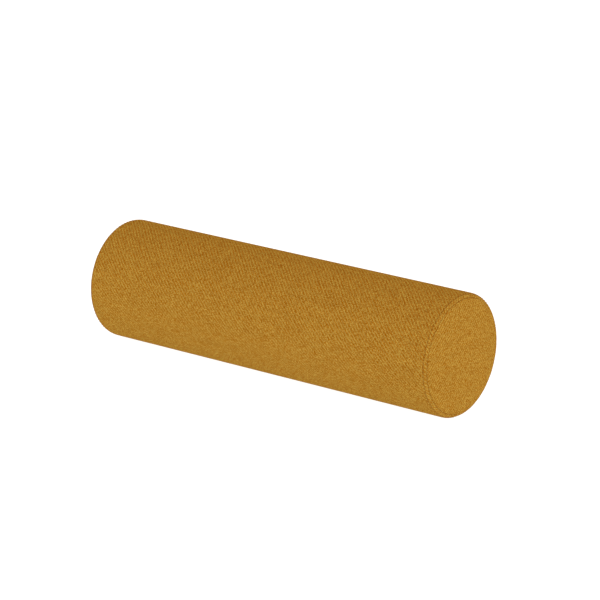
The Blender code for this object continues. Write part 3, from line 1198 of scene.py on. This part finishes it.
# --- stitches -----------------------------------------------------------------
@dataclass(frozen=True)
class Stitch:
    """One sewn stitch: a short run of thread whose ends dive into the cloth."""

    length: float
    radius: float
    dive: float
    cuts: int = 4

    def build(self, name: str) -> Object:
        """Returns the stitch along X, its middle at the origin.

        Args:
            name: The piece's name.

        Returns:
            The stitch.
        """
        deselect()
        bpy.ops.mesh.primitive_cylinder_add(
            vertices=8,
            radius=self.radius,
            depth=self.length - self.radius,
            rotation=(0.0, math.pi / 2, 0.0),
        )
        piece = settle_object(bpy.context.object, name)
        ends = np.array([abs(face.normal.x) > 0.9 for face in piece.data.polygons])
        choose_faces(piece, ends)
        with editing(piece, "KEEP"):
            bpy.ops.mesh.select_mode(type="FACE")
            bpy.ops.mesh.inset(thickness=0.45 * self.radius, depth=0.5 * self.radius)
            bpy.ops.mesh.select_mode(type="VERT")
        for cut in range(1, self.cuts + 1):
            at = (cut / (self.cuts + 1) - 0.5) * self.length
            with editing(piece):
                bpy.ops.mesh.bisect(plane_co=(at, 0, 0), plane_no=(1, 0, 0))
        points = points_of(piece)
        self.map_thread(piece, points)
        share = np.abs(points[:, 0]) / (self.length / 2)
        points[:, 2] -= self.dive * share**3
        move_points(piece, points)
        smooth(piece, 60.0)
        return piece

    def map_thread(self, piece: Object, points: np.ndarray) -> None:
        """Gives each corner its run along the thread and its turn round it.

        Args:
            piece: The stitch.
            points: Its points, still straight.
        """
        mesh = piece.data
        corners = corners_of(piece)
        turn = np.arctan2(points[:, 1], points[:, 2]) / FULL_TURN
        layer = mesh.uv_layers[0] if mesh.uv_layers else mesh.uv_layers.new()
        layer.name = CLOTH_MAP
        flat = np.stack([points[corners, 0], turn[corners]], axis=-1)
        layer.uv.foreach_set("vector", flat.ravel())


def frames_between(
    starts: np.ndarray, ends: np.ndarray, outs: np.ndarray, pattern: float
) -> list[Matrix]:
    """Finds where to put a pattern that spans each pair of points.

    Args:
        starts: The points where the copies start.
        ends: The points where they end.
        outs: The outward direction at each copy.
        pattern: The pattern's own length along X.

    Returns:
        One matrix for each copy.
    """
    made = []
    for start, end, out in zip(starts, ends, outs, strict=True):
        run = Vector(end - start)
        x = run.normalized()
        y = Vector(out).cross(x).normalized()
        z = x.cross(y)
        turn = Matrix((x, y, z)).transposed().to_4x4()
        reach = Matrix.Diagonal((run.length / pattern, 1.0, 1.0, 1.0))
        middle = Matrix.Translation(Vector((start + end) / 2))
        made.append(middle @ turn @ reach)
    return made


@dataclass(frozen=True)
class StitchLine:
    """A line of equal stitches through the given holes."""

    name: str
    holes: np.ndarray
    outs: np.ndarray
    stitch: Stitch
    thread_share: float = 0.8

    def build(self, finish: ThreadFinish, slot: str) -> Object:
        """Sews the line.

        Args:
            finish: The thread's finish.
            slot: Not used.

        Returns:
            The line as one piece.
        """
        pattern = self.stitch.build(self.name)
        reach = self.stitch.length / self.thread_share
        places = frames_between(self.holes[:-1], self.holes[1:], self.outs[:-1], reach)
        return dress(place_copies(pattern, places), finish)


# --- the cover ----------------------------------------------------------------
@dataclass(frozen=True)
class Cover:
    """The mustard cover: a tube panel closed by the zip, and two end discs."""

    form: PillowForm
    fullness: Fullness
    thickness: float = 1.95 * MM
    edge_radius: float = 1.3 * MM
    seam_gap: float = 0.10 * MM
    slot_half: tuple[float, float] = (250.0 * MM, 5.5 * MM)
    round_columns: int = 344
    columns_per_stitch: int = 4
    seam_stitches: int = 180
    topstitch: Stitch = Stitch(5.3 * MM, 0.36 * MM, 0.75 * MM)
    seam_stitch: Stitch = Stitch(3.0 * MM, 0.34 * MM, 0.12 * MM, 2)
    zip_seam: float = 8.0 * MM
    near_zip: tuple[float, ...] = (
        0.0, 0.4, 1.0, 2.0, 3.4, 4.6, 5.5, 5.62, 5.9, 6.4, 7.0, 7.6, 8.0, 8.4,
        9.0, 10.0, 11.3, 12.8, 14.5,
    )
    tube_rows: tuple[float, ...] = (
        246.0, 249.0, 249.6, 250.0, 250.12, 250.4, 250.9, 251.6, 253.0, 255.0, 258.0,
        262.0, 268.0, 275.0, 283.0, 291.0, 299.0, 307.0, 314.0, 320.0, 325.0, 329.0,
        332.0, 334.2, 335.9, 337.0, 338.0, 338.9, 339.6, 340.1, 340.5, 340.85, 341.27,
        341.7, 342.05, 342.5, 343.1, 343.8,
    )
    edge_rows: tuple[float, ...] = (0.0, 0.06, 0.22, 0.5, 0.9, 1.4, 2.1)

    @property
    def turns(self) -> np.ndarray:
        """The turn of each of the panels' columns, once round from the zip.

        Returns:
            The turns, in order.
        """
        near = np.array(self.near_zip) * MM
        around = FULL_TURN * self.form.radius
        far = np.linspace(near[-1], around - near[-1], self.round_columns + 1)
        arcs = np.concatenate([near[:-1], far, around - near[-2::-1]])
        return self.form.zip_turn + arcs / self.form.radius

    @property
    def hole_turns(self) -> np.ndarray:
        """The turn of each hole of the topstitching, once round.

        Returns:
            The turns, in order.
        """
        start = self.near_zip[-1] * MM / self.form.radius
        span = FULL_TURN - 2 * start
        count = self.round_columns // self.columns_per_stitch
        across = np.linspace(-start, start, 5)[1:-1]
        far = np.linspace(start, start + span, count + 1)
        return self.form.zip_turn + np.concatenate([far, across + FULL_TURN])

    def seam_run(self, turn: np.ndarray) -> np.ndarray:
        """Returns how far the disc's seam strays from its even line."""
        return 0.18 * MM * np.sin(3 * turn + 0.7) + 0.10 * MM * np.sin(11 * turn)

    def seam_along(self, turn: np.ndarray) -> np.ndarray:
        """Returns the seam's distance over the skin from the tube's middle."""
        return self.form.seam + self.seam_run(turn)

    def across_zip(self, turn: np.ndarray) -> np.ndarray:
        """Returns the distance across the zip's line, downwards."""
        gone = (self.form.zip_turn - turn + math.pi) % FULL_TURN - math.pi
        return gone * self.form.radius

    def ripple(self, turn: np.ndarray, seed: float) -> np.ndarray:
        """Returns uneven gathers round a seam, between about -1 and 1.

        Args:
            turn: Angles round from the top towards -Y.
            seed: Which gathers to make.

        Returns:
            The gathers.
        """
        made = np.zeros(np.shape(turn))
        for index, waves in enumerate((17, 29, 43, 61)):
            made += np.sin(waves * turn + seed * (index + 1)) / (index + 1.5)
        return made / 1.3

    def depth(self, along: np.ndarray, turn: np.ndarray) -> np.ndarray:
        """Returns how deep the cover's outer face lies at each place.

        Args:
            along: Distances over the skin from the tube's middle.
            turn: Angles round from the top towards -Y.

        Returns:
            The depths, in metres.
        """
        side, run = np.sign(along), np.abs(along)
        seam = self.seam_along(turn)
        to_seam = np.abs(run - seam) - self.seam_gap
        deep = -self.fullness.at(along, turn) * np.clip(to_seam / (6 * MM), 0, 1)
        deep = deep + turned_edge(to_seam, self.edge_radius)
        deep += 0.40 * MM * bump_at(to_seam, 2.6 * MM)
        gathers = self.ripple(turn, 1.3 + side)
        deep += 0.16 * MM * gathers * np.exp(-to_seam / (7 * MM))
        deep += self.stitch_dips(run, turn)
        return deep + self.zip_dips(run, turn)

    def stitch_dips(self, run: np.ndarray, turn: np.ndarray) -> np.ndarray:
        """Returns the groove and the holes that the topstitching pulls.

        Args:
            run: Distances from the tube's middle, either way.
            turn: Angles round from the top towards -Y.

        Returns:
            The depths, in metres.
        """
        off = run - self.form.stitched
        holes = np.sort(self.hole_turns)
        gone = (turn - holes[0]) % FULL_TURN
        known = np.append(holes - holes[0], FULL_TURN)
        spot = np.clip(np.searchsorted(known, gone), 1, len(known) - 1)
        near = np.minimum(np.abs(gone - known[spot - 1]), np.abs(known[spot] - gone))
        hole = bump_at(near * self.form.radius, 1.0 * MM)
        groove = 0.30 * MM * bump_at(off, 1.5 * MM)
        return groove + 0.75 * MM * hole * bump_at(off, 1.0 * MM)

    def zip_dips(self, run: np.ndarray, turn: np.ndarray) -> np.ndarray:
        """Returns the slot's folded edges, its stitched lines and its seam.

        Args:
            run: Distances from the tube's middle, either way.
            turn: Angles round from the top towards -Y.

        Returns:
            The depths, in metres.
        """
        across = np.abs(self.across_zip(turn))
        out = np.maximum(run - self.slot_half[0], across - self.slot_half[1])
        past = np.clip((run - self.slot_half[0] - 4 * MM) / (3 * MM), 0.0, 1.0)
        past = past * (run < self.seam_along(turn))
        beside = np.clip((self.slot_half[0] + 5 * MM - run) / (2 * MM), 0.0, 1.0)
        deep = turned_edge(np.maximum(out, 0.0), 1.0 * MM)
        deep = deep + past * 0.95 * MM * bump_at(across, 0.8 * MM)
        return deep + beside * 0.35 * MM * bump_at(across - self.zip_seam, 1.2 * MM)

    def half_rows(self, turn: np.ndarray) -> np.ndarray:
        """Returns the rows of the tube's +X half, one line for each row.

        Args:
            turn: The turn of each column.

        Returns:
            Distances over the skin, of shape (rows, columns).
        """
        fixed = np.concatenate([np.arange(0.0, 241.0, 8.0), self.tube_rows]) * MM
        edge = np.array(self.edge_rows[::-1]) * MM
        last = self.seam_along(turn) - self.seam_gap
        start, stop = fixed[-1], last - edge[0]
        between = start + np.linspace(0, 1, 6)[1:-1, None] * (stop - start)
        wide = np.broadcast_to(fixed[:, None], (len(fixed), len(turn)))
        return np.concatenate([wide, between, last - edge[:, None]])

    def panel(
        self, name: str, along: np.ndarray, turns: np.ndarray, flat: np.ndarray,
        cut: np.ndarray | None = None,
    ) -> Object:
        """Lays one of the cover's panels.

        Args:
            name: The piece's name.
            along: Each point's distance over the skin from the tube's middle.
            turns: Each point's turn.
            flat: The same points' places on the flat cloth.
            cut: True for each cell that is cut out.

        Returns:
            The panel, with its wall.
        """
        form = self.form
        outer = form.rest(form.skin(along, turns, self.depth(along, turns)), 0.0)
        inner = form.rest(form.skin(along, turns, self.thickness), self.thickness)
        return lay_cloth(name, outer, flat, inner, cut)

    def build_tube(self) -> Object:
        """Returns the tube panel, with the zip's slot cut out.

        Returns:
            The panel, closed at the back beyond the slot.
        """
        turn = self.turns
        half = self.half_rows(turn)
        along = both_ways(half)
        turns = np.broadcast_to(turn, along.shape)
        flat = np.stack([along, turns * self.form.radius], axis=-1)
        middle = (along[1:, :-1] + along[:-1, 1:]) / 2
        across = self.across_zip((turns[1:, 1:] + turns[:-1, :-1]) / 2)
        cut = np.abs(middle) < self.slot_half[0]
        cut &= np.abs(across) < self.slot_half[1]
        return self.panel("cover_tube_cloth", along, turns, flat, cut)

    def build_end(self, end: End) -> Object:
        """Returns one end disc.

        Args:
            end: Which end it closes.

        Returns:
            The disc.
        """
        turn = self.turns
        first = self.seam_along(turn) + self.seam_gap
        edge = np.array([*self.edge_rows, 3.2, 4.6, 6.4, 8.8, 11.6]) * MM
        near = first + edge[:, None]
        share = np.linspace(0.0, 1.0, 19)[1:, None]
        far = near[-1] + share * (self.form.pole - near[-1])
        along = end.value * np.concatenate([near, far])
        turns = np.broadcast_to(turn, along.shape)
        flat = self.form.disc_cloth(along, turns)
        return self.panel(f"cover_end_{end.word}_cloth", along, turns, flat)

    def ring(self, end: End, along: np.ndarray, turn: np.ndarray, depth: float) -> tuple:
        """Finds the holes of a line of stitches round an end.

        Args:
            end: The end that the line goes round.
            along: Each hole's distance over the skin from the tube's middle.
            turn: Each hole's turn.
            depth: How deep the thread lies.

        Returns:
            The holes, and the outward direction at each.
        """
        along = end.value * along
        holes = self.form.rest(self.form.skin(along, turn, depth), 0.35 * MM)
        return holes, self.form.outward(along, turn)

    def build_topstitch(self, end: End) -> Object:
        """Returns the stitches that hold the seam allowance at one end.

        Args:
            end: Which end it belongs to.

        Returns:
            The stitches as one piece.
        """
        turn = np.sort(self.hole_turns)
        turn = np.append(turn, turn[0] + FULL_TURN)
        along = np.full(len(turn), self.form.stitched)
        holes, outs = self.ring(end, along, turn, 0.18 * MM)
        name = f"topstitch_{end.word}_thread"
        line = StitchLine(name, holes, outs, self.topstitch, 0.80)
        return line.build(TOPSTITCH, "mustard_thread")

    def build_seam_stitch(self, end: End) -> Object:
        """Returns the stitches at the bottom of one end's seam.

        Args:
            end: Which end it belongs to.

        Returns:
            The stitches as one piece.
        """
        turn = self.form.once_round(self.seam_stitches)
        along = self.seam_along(turn)
        holes, outs = self.ring(end, along, turn, 1.45 * MM)
        name = f"seam_stitch_{end.word}_thread"
        line = StitchLine(name, holes, outs, self.seam_stitch, 0.86)
        return line.build(SEAM_THREAD, "mustard_thread")

    def build(self) -> list[Object]:
        """Builds and dresses all of the cover's pieces.

        Returns:
            The pieces, each of which stands for the CAD node of its name.
        """
        panels = [self.build_tube(), *(self.build_end(end) for end in End)]
        for panel in panels:
            dress(panel, UPHOLSTERY)
        threads = [self.build_topstitch(end) for end in End]
        threads += [self.build_seam_stitch(end) for end in End]
        return panels + threads


# --- the zip ------------------------------------------------------------------
@dataclass(frozen=True)
class Zip:
    """The coil zip in the back of the cover."""

    form: PillowForm
    tape_edge: tuple[float, ...] = (
        0.75, 0.85, 1.1, 1.8, 3.0, 4.6, 6.4, 8.4, 8.7, 10.0, 11.4, 12.4, 12.85, 13.0,
    )
    tape_top: float = -2.3 * MM
    tape_thick: float = 0.6 * MM
    coil_pitch: float = 1.2 * MM
    wire: float = 0.27 * MM
    coil_half: tuple[float, float] = (1.2 * MM, 0.9 * MM)
    coil_across: float = 0.95 * MM
    coil_out: float = -1.1 * MM
    parted: float = 1.0 * MM
    stitch_across: float = 8.0 * MM
    tape_bend: float = 8.5 * MM
    tape_slope: float = math.radians(10.0)
    tack_half: tuple[float, float] = (1.3 * MM, 7.0 * MM)
    tack_count: int = 30
    tack_lean: float = 0.12 * MM
    tack_depth: float = 0.02 * MM
    tape_stitch: Stitch = Stitch(2.8 * MM, 0.33 * MM, 0.5 * MM, 3)
    tack_stitch: Stitch = Stitch(2.6 * MM, 0.27 * MM, 0.5 * MM, 3)

    def build_tape(self, hand: Hand) -> Object:
        """Returns one woven tape, which follows the cover round.

        Args:
            hand: Which half of the zip it belongs to.

        Returns:
            The tape, dressed.
        """
        low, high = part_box(f"zip_tape_{hand.word}")
        runs = np.linspace(low.x, high.x, 131)
        wide = np.array(self.tape_edge) * MM
        runs, wide = np.meshgrid(runs, wide, indexing="ij")
        drop = np.clip(wide - self.tape_bend, 0.0, None) * math.tan(self.tape_slope)
        bead = 0.10 * MM * bump_at(wide - 0.8 * MM, 0.5 * MM)
        bead = bead - 0.12 * MM * turned_edge((13.0 * MM - wide) / MM, 0.4)
        across = hand.value * wide
        face = self.tape_top - drop + bead - 0.1 * MM
        top = self.form.zip_point(runs, across, face)
        back = self.tape_top - self.tape_thick - drop
        low_face = self.form.zip_point(runs, across, back)
        flat = np.stack([runs, wide], axis=-1)
        tape = lay_cloth(f"zip_tape_{hand.word}_cloth", top, flat, low_face)
        dress(tape, TAPE)
        return tape

    def build_coil(self, hand: Hand) -> Object:
        """Returns one coil, its turns set between the other coil's.

        Args:
            hand: Which half of the zip it belongs to.

        Returns:
            The coil, dressed.
        """
        name = f"zip_row_{hand.word}"
        low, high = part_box(name)
        turns = int((high.x - low.x - 2 * self.wire) / self.coil_pitch)
        reach = self.coil_half[0] - self.wire
        deselect()
        bpy.ops.mesh.primitive_circle_add(
            vertices=6, radius=self.wire, location=(0, reach, 0),
            rotation=(math.pi / 2, 0, math.pi / 2),
        )
        coil = settle_object(bpy.context.object, name + "_coil")
        with editing(coil):
            bpy.ops.transform.rotate(
                value=math.pi / 2, orient_axis="Z",
                center_override=(0, reach, 0),
            )
        apply_modifier(
            coil, "SCREW", axis="X", angle=FULL_TURN, screw_offset=self.coil_pitch,
            iterations=turns, steps=10, render_steps=10, use_normal_calculate=True,
        )
        with editing(coil, "DESELECT"):
            bpy.ops.mesh.select_non_manifold()
            bpy.ops.mesh.edge_face_add()
        with editing(coil):
            bpy.ops.mesh.normals_make_consistent(inside=False)
        points = points_of(coil)
        start = low.x + self.wire + (0.5 * self.coil_pitch if hand is Hand.LOWER else 0)
        x = points[:, 0] - points[:, 0].min() + start - 0.3 * MM
        ring = points[:, 1:] * np.array(
            [1.0, (self.coil_half[1] - self.wire) / reach]
        )
        near = np.clip((low.x + 9 * MM - x) / (5 * MM), 0.0, 1.0)
        apart = self.parted * near**2 * (3 - 2 * near)
        across = hand.value * (self.coil_across + apart - ring[:, 0])
        move_points(coil, self.form.zip_point(x, across, self.coil_out + ring[:, 1]))
        with editing(coil):
            bpy.ops.mesh.normals_make_consistent(inside=False)
        smooth(coil, 60.0)
        dress(coil, NYLON)
        self.part_with_slider(coil, hand)
        return coil

    def part_with_slider(self, coil: Object, hand: Hand) -> None:
        """Attaches a coil to the pillow's body, with a mesh of its own.

        Args:
            coil: The coil to attach.
            hand: Which half of the zip it belongs to.
        """
        keep = 0.99
        far = hand.value * (self.coil_across + self.parted / (1 - keep))
        anchor = self.form.zip_point(0.0, far, self.coil_out)
        tip = self.form.zip_point(0.0, far + 1.0, self.coil_out)
        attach(coil, "pillow")
        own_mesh(coil)

    def on_cover(self, x: np.ndarray, across: np.ndarray, depth: float) -> np.ndarray:
        """Finds points on the cover beside the zip.

        Args:
            x: Distances along the zip.
            across: Distances across it, downwards.
            depth: How far below the cover's skin.

        Returns:
            The points.
        """
        turn = self.form.zip_turn - across / self.form.radius
        x, turn = np.broadcast_arrays(x, turn)
        return self.form.skin(x, turn, depth)

    def outward(self, x: np.ndarray, across: np.ndarray) -> np.ndarray:
        """Returns the direction square to the cover beside the zip."""
        return (self.on_cover(x, across, 0.0) - self.on_cover(x, across, MM)) / MM

    def build_stitching(self, hand: Hand) -> Object:
        """Returns the line of stitches that holds one tape.

        Args:
            hand: Which half of the zip it belongs to.

        Returns:
            The stitches as one piece.
        """
        name = f"zip_stitch_{hand.word}"
        low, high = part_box(name)
        runs = np.linspace(low.x, high.x, 146)
        across = np.full(len(runs), hand.value * self.stitch_across)
        holes = self.on_cover(runs, across, 0.22 * MM)
        outs = self.outward(runs, across)
        line = StitchLine(name + "_thread", holes, outs, self.tape_stitch, 0.84)
        return line.build(TOPSTITCH, "mustard_thread")

    def build_bar_tack(self, end: End) -> Object:
        """Returns the dense bar of stitches across one end of the slot.

        Args:
            end: Which end it belongs to.

        Returns:
            The bar as one piece.
        """
        name = f"zip_bartack_{end.word}"
        low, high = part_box(name)
        half, reach = self.tack_half
        middle = np.full(self.tack_count, (low.x + high.x) / 2)
        across = np.linspace(-reach, reach, self.tack_count)
        lean, depth = self.tack_lean, self.tack_depth
        starts = self.on_cover(middle - half, across - lean, depth)
        ends = self.on_cover(middle + half, across + lean, depth)
        pattern = self.tack_stitch.build(name + "_thread")
        outs = self.outward(middle, across)
        places = frames_between(starts, ends, outs, self.tack_stitch.length)
        return dress(place_copies(pattern, places), TOPSTITCH)

    def dress_metal(self) -> None:
        """Gives the slider, its pull and the stops their plated metal."""
        metal = bpy.data.materials.get(NICKEL.name) or NICKEL.material()
        names = ["zip_slider", "zip_pull", "zip_bottom_stop"]
        names += [f"zip_top_stop_{hand.word}" for hand in Hand]
        for name in names:
            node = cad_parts[name]
            for slot in node.material_slots:
                slot.material = metal
            log.info("%s: dressed as plated metal", name)

    def build(self) -> list[Object]:
        """Builds and dresses all of the zip's pieces, and returns the new ones.

        Returns:
            The new pieces, without the metal nodes.
        """
        self.dress_metal()
        made = [self.build_tape(hand) for hand in Hand]
        made += [self.build_coil(hand) for hand in Hand]
        made += [self.build_stitching(hand) for hand in Hand]
        made += [self.build_bar_tack(end) for end in End]
        return made


# --- what is inside -----------------------------------------------------------
@dataclass(frozen=True)
class Filling:
    """The foam core, its wadding and the calico liner round them."""

    form: PillowForm
    liner: tuple[float, float] = (2.3 * MM, 3.1 * MM)
    batting: tuple[float, float] = (3.4 * MM, 7.4 * MM)
    core: float = 7.7 * MM
    gap: float = 0.15 * MM
    columns: int = 144

    def lumps(self, points: np.ndarray, size: float, seed: float) -> np.ndarray:
        """Returns soft unevenness from 0 to 1 at each point.

        Args:
            points: Where it is read.
            size: How wide a lump is.
            seed: Which lumps to make.

        Returns:
            The unevenness.
        """
        flat = points.reshape(-1, 3) / size
        made = [0.5 + 0.5 * noise.noise(Vector(p) + Vector((seed, 0, 0))) for p in flat]
        return np.clip(np.array(made).reshape(points.shape[:-1]), 0.0, 1.0)

    def layer(
        self, name: str, along: np.ndarray, depths: tuple[float, float | None],
        lump: tuple[float, float], disc: bool,
    ) -> Object:
        """Builds one layer of the filling.

        Args:
            name: The piece's name.
            along: The rows' distances over the skin from the tube's middle.
            depths: How deep its outer and inner faces lie, or None for solid.
            lump: How deep and how wide its unevenness is.
            disc: True for a flat cut disc, False for a rolled sheet.

        Returns:
            The layer.
        """
        form = self.form
        turn = form.once_round(self.columns)
        along, turns = np.meshgrid(along, turn, indexing="ij")
        ends = np.minimum(np.abs(np.abs(along) - form.seam), 9 * MM) / (9 * MM)
        base = form.skin(along, turns, depths[0])
        uneven = lump[0] * self.lumps(base, lump[1], len(name)) * ends
        outer = form.skin(along, turns, depths[0] + uneven)
        outer = form.clear_zip(form.rest(outer, depths[0]), depths[0])
        inner = None
        if depths[1] is not None:
            inner = form.skin(along, turns, depths[1])
            inner = form.clear_zip(form.rest(inner, depths[1]), depths[1])
        flat = np.stack([along, turns * form.radius], axis=-1)
        if disc:
            flat = form.disc_cloth(along, turns)
        return lay_cloth(name, outer, flat, inner)

    def tube_rows(self) -> np.ndarray:
        """Returns the rows of a rolled layer, from seam to seam.

        Returns:
            Distances over the skin from the tube's middle.
        """
        last = self.form.seam - self.gap
        near = np.array([0.0, 0.3, 0.9, 1.8, *np.arange(3.0, 17.0, 1.5)]) * MM
        middle = np.linspace(last - 22 * MM, -last + 22 * MM, 81)
        return np.concatenate([last - near, middle, -last + near[::-1]])[::-1]

    def disc_rows(self, end: End) -> np.ndarray:
        """Returns the rows of a cut disc, from its edge to its middle.

        Args:
            end: Which end it belongs to.

        Returns:
            Distances over the skin from the tube's middle.
        """
        first = self.form.seam + self.gap
        near = np.array([0.0, 0.3, 0.9, 1.8, 2.8, 4.0, 7.0, 11.0]) * MM + first
        far = np.linspace(near[-1], self.form.pole, 20)[1:]
        return end.value * np.concatenate([near, far])

    def build_pair(
        self, names: tuple[str, str], depths: tuple[float, float],
        lump: tuple[float, float],
    ) -> list[Object]:
        """Builds a rolled layer and the two discs that close it.

        Args:
            names: The rolled layer's name, and the discs' with END in it.
            depths: How deep their outer and inner faces lie.
            lump: How deep and how wide their unevenness is.

        Returns:
            The rolled layer and the two discs.
        """
        made = [self.layer(names[0], self.tube_rows(), depths, lump, False)]
        for end in End:
            name = names[1].replace("END", end.word)
            made.append(self.layer(name, self.disc_rows(end), depths, lump, True))
        return made

    def build(self) -> list[Object]:
        """Returns:
            The core, the wadding and the liner.
        """
        poles = both_ways(self.form.rows_to_pole(48, 8, 14))
        core = self.layer("foam_core_foam", poles, (self.core, None), (0.6 * MM, 0.03), False)
        dress(core, FOAM)
        wadding = self.build_pair(
            ("batting_wrap_wadding", "batting_end_END_wadding"),
            self.batting, (1.1 * MM, 0.014),
        )
        for piece in wadding:
            dress(piece, WADDING)
        liner = self.build_pair(
            ("liner_tube_calico", "liner_end_END_calico"), self.liner, (0.25 * MM, 0.02)
        )
        for piece in liner:
            dress(piece, CALICO)
        return [core, *wadding, *liner]


@dataclass(frozen=True)
class CareLabel:
    """A blank satin label, sewn in beside the zip on the cover's inside."""

    form: PillowForm
    thick: float = 0.30 * MM
    width: float = 25.0 * MM
    depth: float = 2.36 * MM

    def build(self) -> Object:
        """Returns the label, dressed.

        Returns:
            The label.
        """
        low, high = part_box("care_label")
        size = (high.x - low.x, self.width)
        runs = np.linspace(low.x, high.x, 33)
        across = np.linspace(-size[1] / 2, size[1] / 2, 25)
        runs, across = np.meshgrid(runs, across, indexing="ij")
        turn = self.form.zip_turn - across / self.form.radius
        share = (runs - low.x) / size[0]
        hem = 0.06 * MM * bump_at(np.minimum(share, 1 - share) * size[0] - 2 * MM, MM)
        curl = 0.25 * MM * share**2 * np.cos(np.pi * across / size[1]) ** 2
        outer = self.form.skin(runs, turn, self.depth - hem + curl)
        inner = self.form.skin(runs, turn, self.depth + self.thick + curl)
        flat = np.stack([runs, across], axis=-1)
        label = lay_cloth("care_label_satin", outer, flat, inner)
        dress(label, SATIN)
        return label


# --- the studio ---------------------------------------------------------------
@dataclass(frozen=True)
class Studio:
    """A plain white floor, soft even light and the camera."""

    form: PillowForm
    azimuth: float = math.radians(38.116)
    elevation: float = math.radians(17.322)
    distance: float = 4.896
    aside: tuple[float, float] = (0.01889, 0.02436)
    lens: float = 180.73
    sky: float = 0.90
    sky_tint: Colour = (1.0, 0.87, 0.72)
    floor_grey: float = 0.25
    floor_glow: float = 0.97
    floor_side: float = 30.0
    floor_drop: float = 0.0005
    box_side: float = 2.4
    boxes: tuple[tuple[str, tuple[float, float, float], float], ...] = (
        ("key", (3.7, -0.9, 0.8), 56.0),
        ("front", (-1.2, -3.6, 1.7), 33.0),
        ("back", (-0.8, 3.6, 0.5), 24.0),
    )

    def place_camera(self) -> None:
        """Adds the camera, level and looking along its own line of sight."""
        flat = math.cos(self.elevation)
        back = Vector((
            math.sin(self.azimuth) * flat,
            -math.cos(self.azimuth) * flat,
            math.sin(self.elevation),
        ))
        right = Vector((math.cos(self.azimuth), math.sin(self.azimuth), 0.0))
        up = back.cross(right)
        deselect()
        bpy.ops.object.camera_add()
        camera = bpy.context.object
        camera.location = (
            Vector((0, 0, self.form.axis_z)) + back * self.distance
            + right * self.aside[0] + up * self.aside[1]
        )
        camera.rotation_euler = Matrix((right, up, back)).transposed().to_euler()
        camera.data.lens = self.lens
        camera.data.sensor_width = 36.0
        camera.data.clip_start, camera.data.clip_end = 0.05, 60.0
        bpy.context.scene.camera = camera

    def light_room(self) -> None:
        """Lights the room by a soft white sky and large soft boxes."""
        world = bpy.data.worlds.new("studio")
        bpy.context.scene.world = world
        world.use_nodes = True
        nodes, links = world.node_tree.nodes, world.node_tree.links
        shown = nodes["Background"]
        shown.inputs["Color"].default_value = (1.0, 1.0, 1.0, 1.0)
        shown.inputs["Strength"].default_value = 1.0
        fill = nodes.new("ShaderNodeBackground")
        fill.inputs["Color"].default_value = rgba(self.sky_tint)
        fill.inputs["Strength"].default_value = self.sky
        path, mix = nodes.new("ShaderNodeLightPath"), nodes.new("ShaderNodeMixShader")
        links.new(path.outputs["Is Camera Ray"], mix.inputs[0])
        links.new(fill.outputs[0], mix.inputs[1])
        links.new(shown.outputs[0], mix.inputs[2])
        links.new(mix.outputs[0], nodes["World Output"].inputs["Surface"])
        for name, at, power in self.boxes:
            self.add_box(name, at, power)

    def add_box(self, name: str, at: tuple[float, ...], power: float) -> None:
        """Adds one soft box that faces the pillow.

        Args:
            name: The light's name.
            at: Where it stands.
            power: Its power in watts.
        """
        deselect()
        bpy.ops.object.light_add(type="AREA", location=at)
        lamp = bpy.context.object
        lamp.name = name
        lamp.data.shape, lamp.data.size = "SQUARE", self.box_side
        lamp.data.energy = power
        aim = Vector((0, 0, self.form.axis_z)) - Vector(at)
        lamp.rotation_euler = aim.to_track_quat("-Z", "Y").to_euler()

    def lay_floor(self) -> None:
        """Lays a wide white floor whose glow hides the pillow's shadow."""
        deselect()
        bpy.ops.mesh.primitive_plane_add(
            size=self.floor_side, location=(0, 0, -self.floor_drop)
        )
        floor = settle_object(bpy.context.object, "floor")
        g = Graph("studio_floor")
        grey = (self.floor_grey,) * 3
        g.set(Base_Color=grey, Roughness=1.0, Specular_IOR_Level=0.0)
        g.set(Emission_Color=(1.0, 1.0, 1.0), Emission_Strength=self.floor_glow)
        floor.data.materials.append(g.material)

    def build(self) -> None:
        """Sets up the whole studio."""
        self.place_camera()
        self.light_room()
        self.lay_floor()
        view = bpy.context.scene.view_settings
        view.view_transform, view.look = "Standard", "None"


def main() -> None:
    """Builds the studio and every piece of the pillow, in order."""
    logging.basicConfig(level=logging.INFO, format="%(name)s: %(message)s")
    form = PillowForm()
    Studio(form).build()
    fullness = Stuffing(form).run()
    made = Cover(form, fullness).build() + Zip(form).build()
    made += Filling(form).build() + [CareLabel(form).build()]
    for piece in made:
        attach(piece, "pillow")
        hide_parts(piece.name.rsplit("_", 1)[0])
        log.info("%s: %d faces", piece.name, len(piece.data.polygons))


if __name__ == "__main__":
    main()
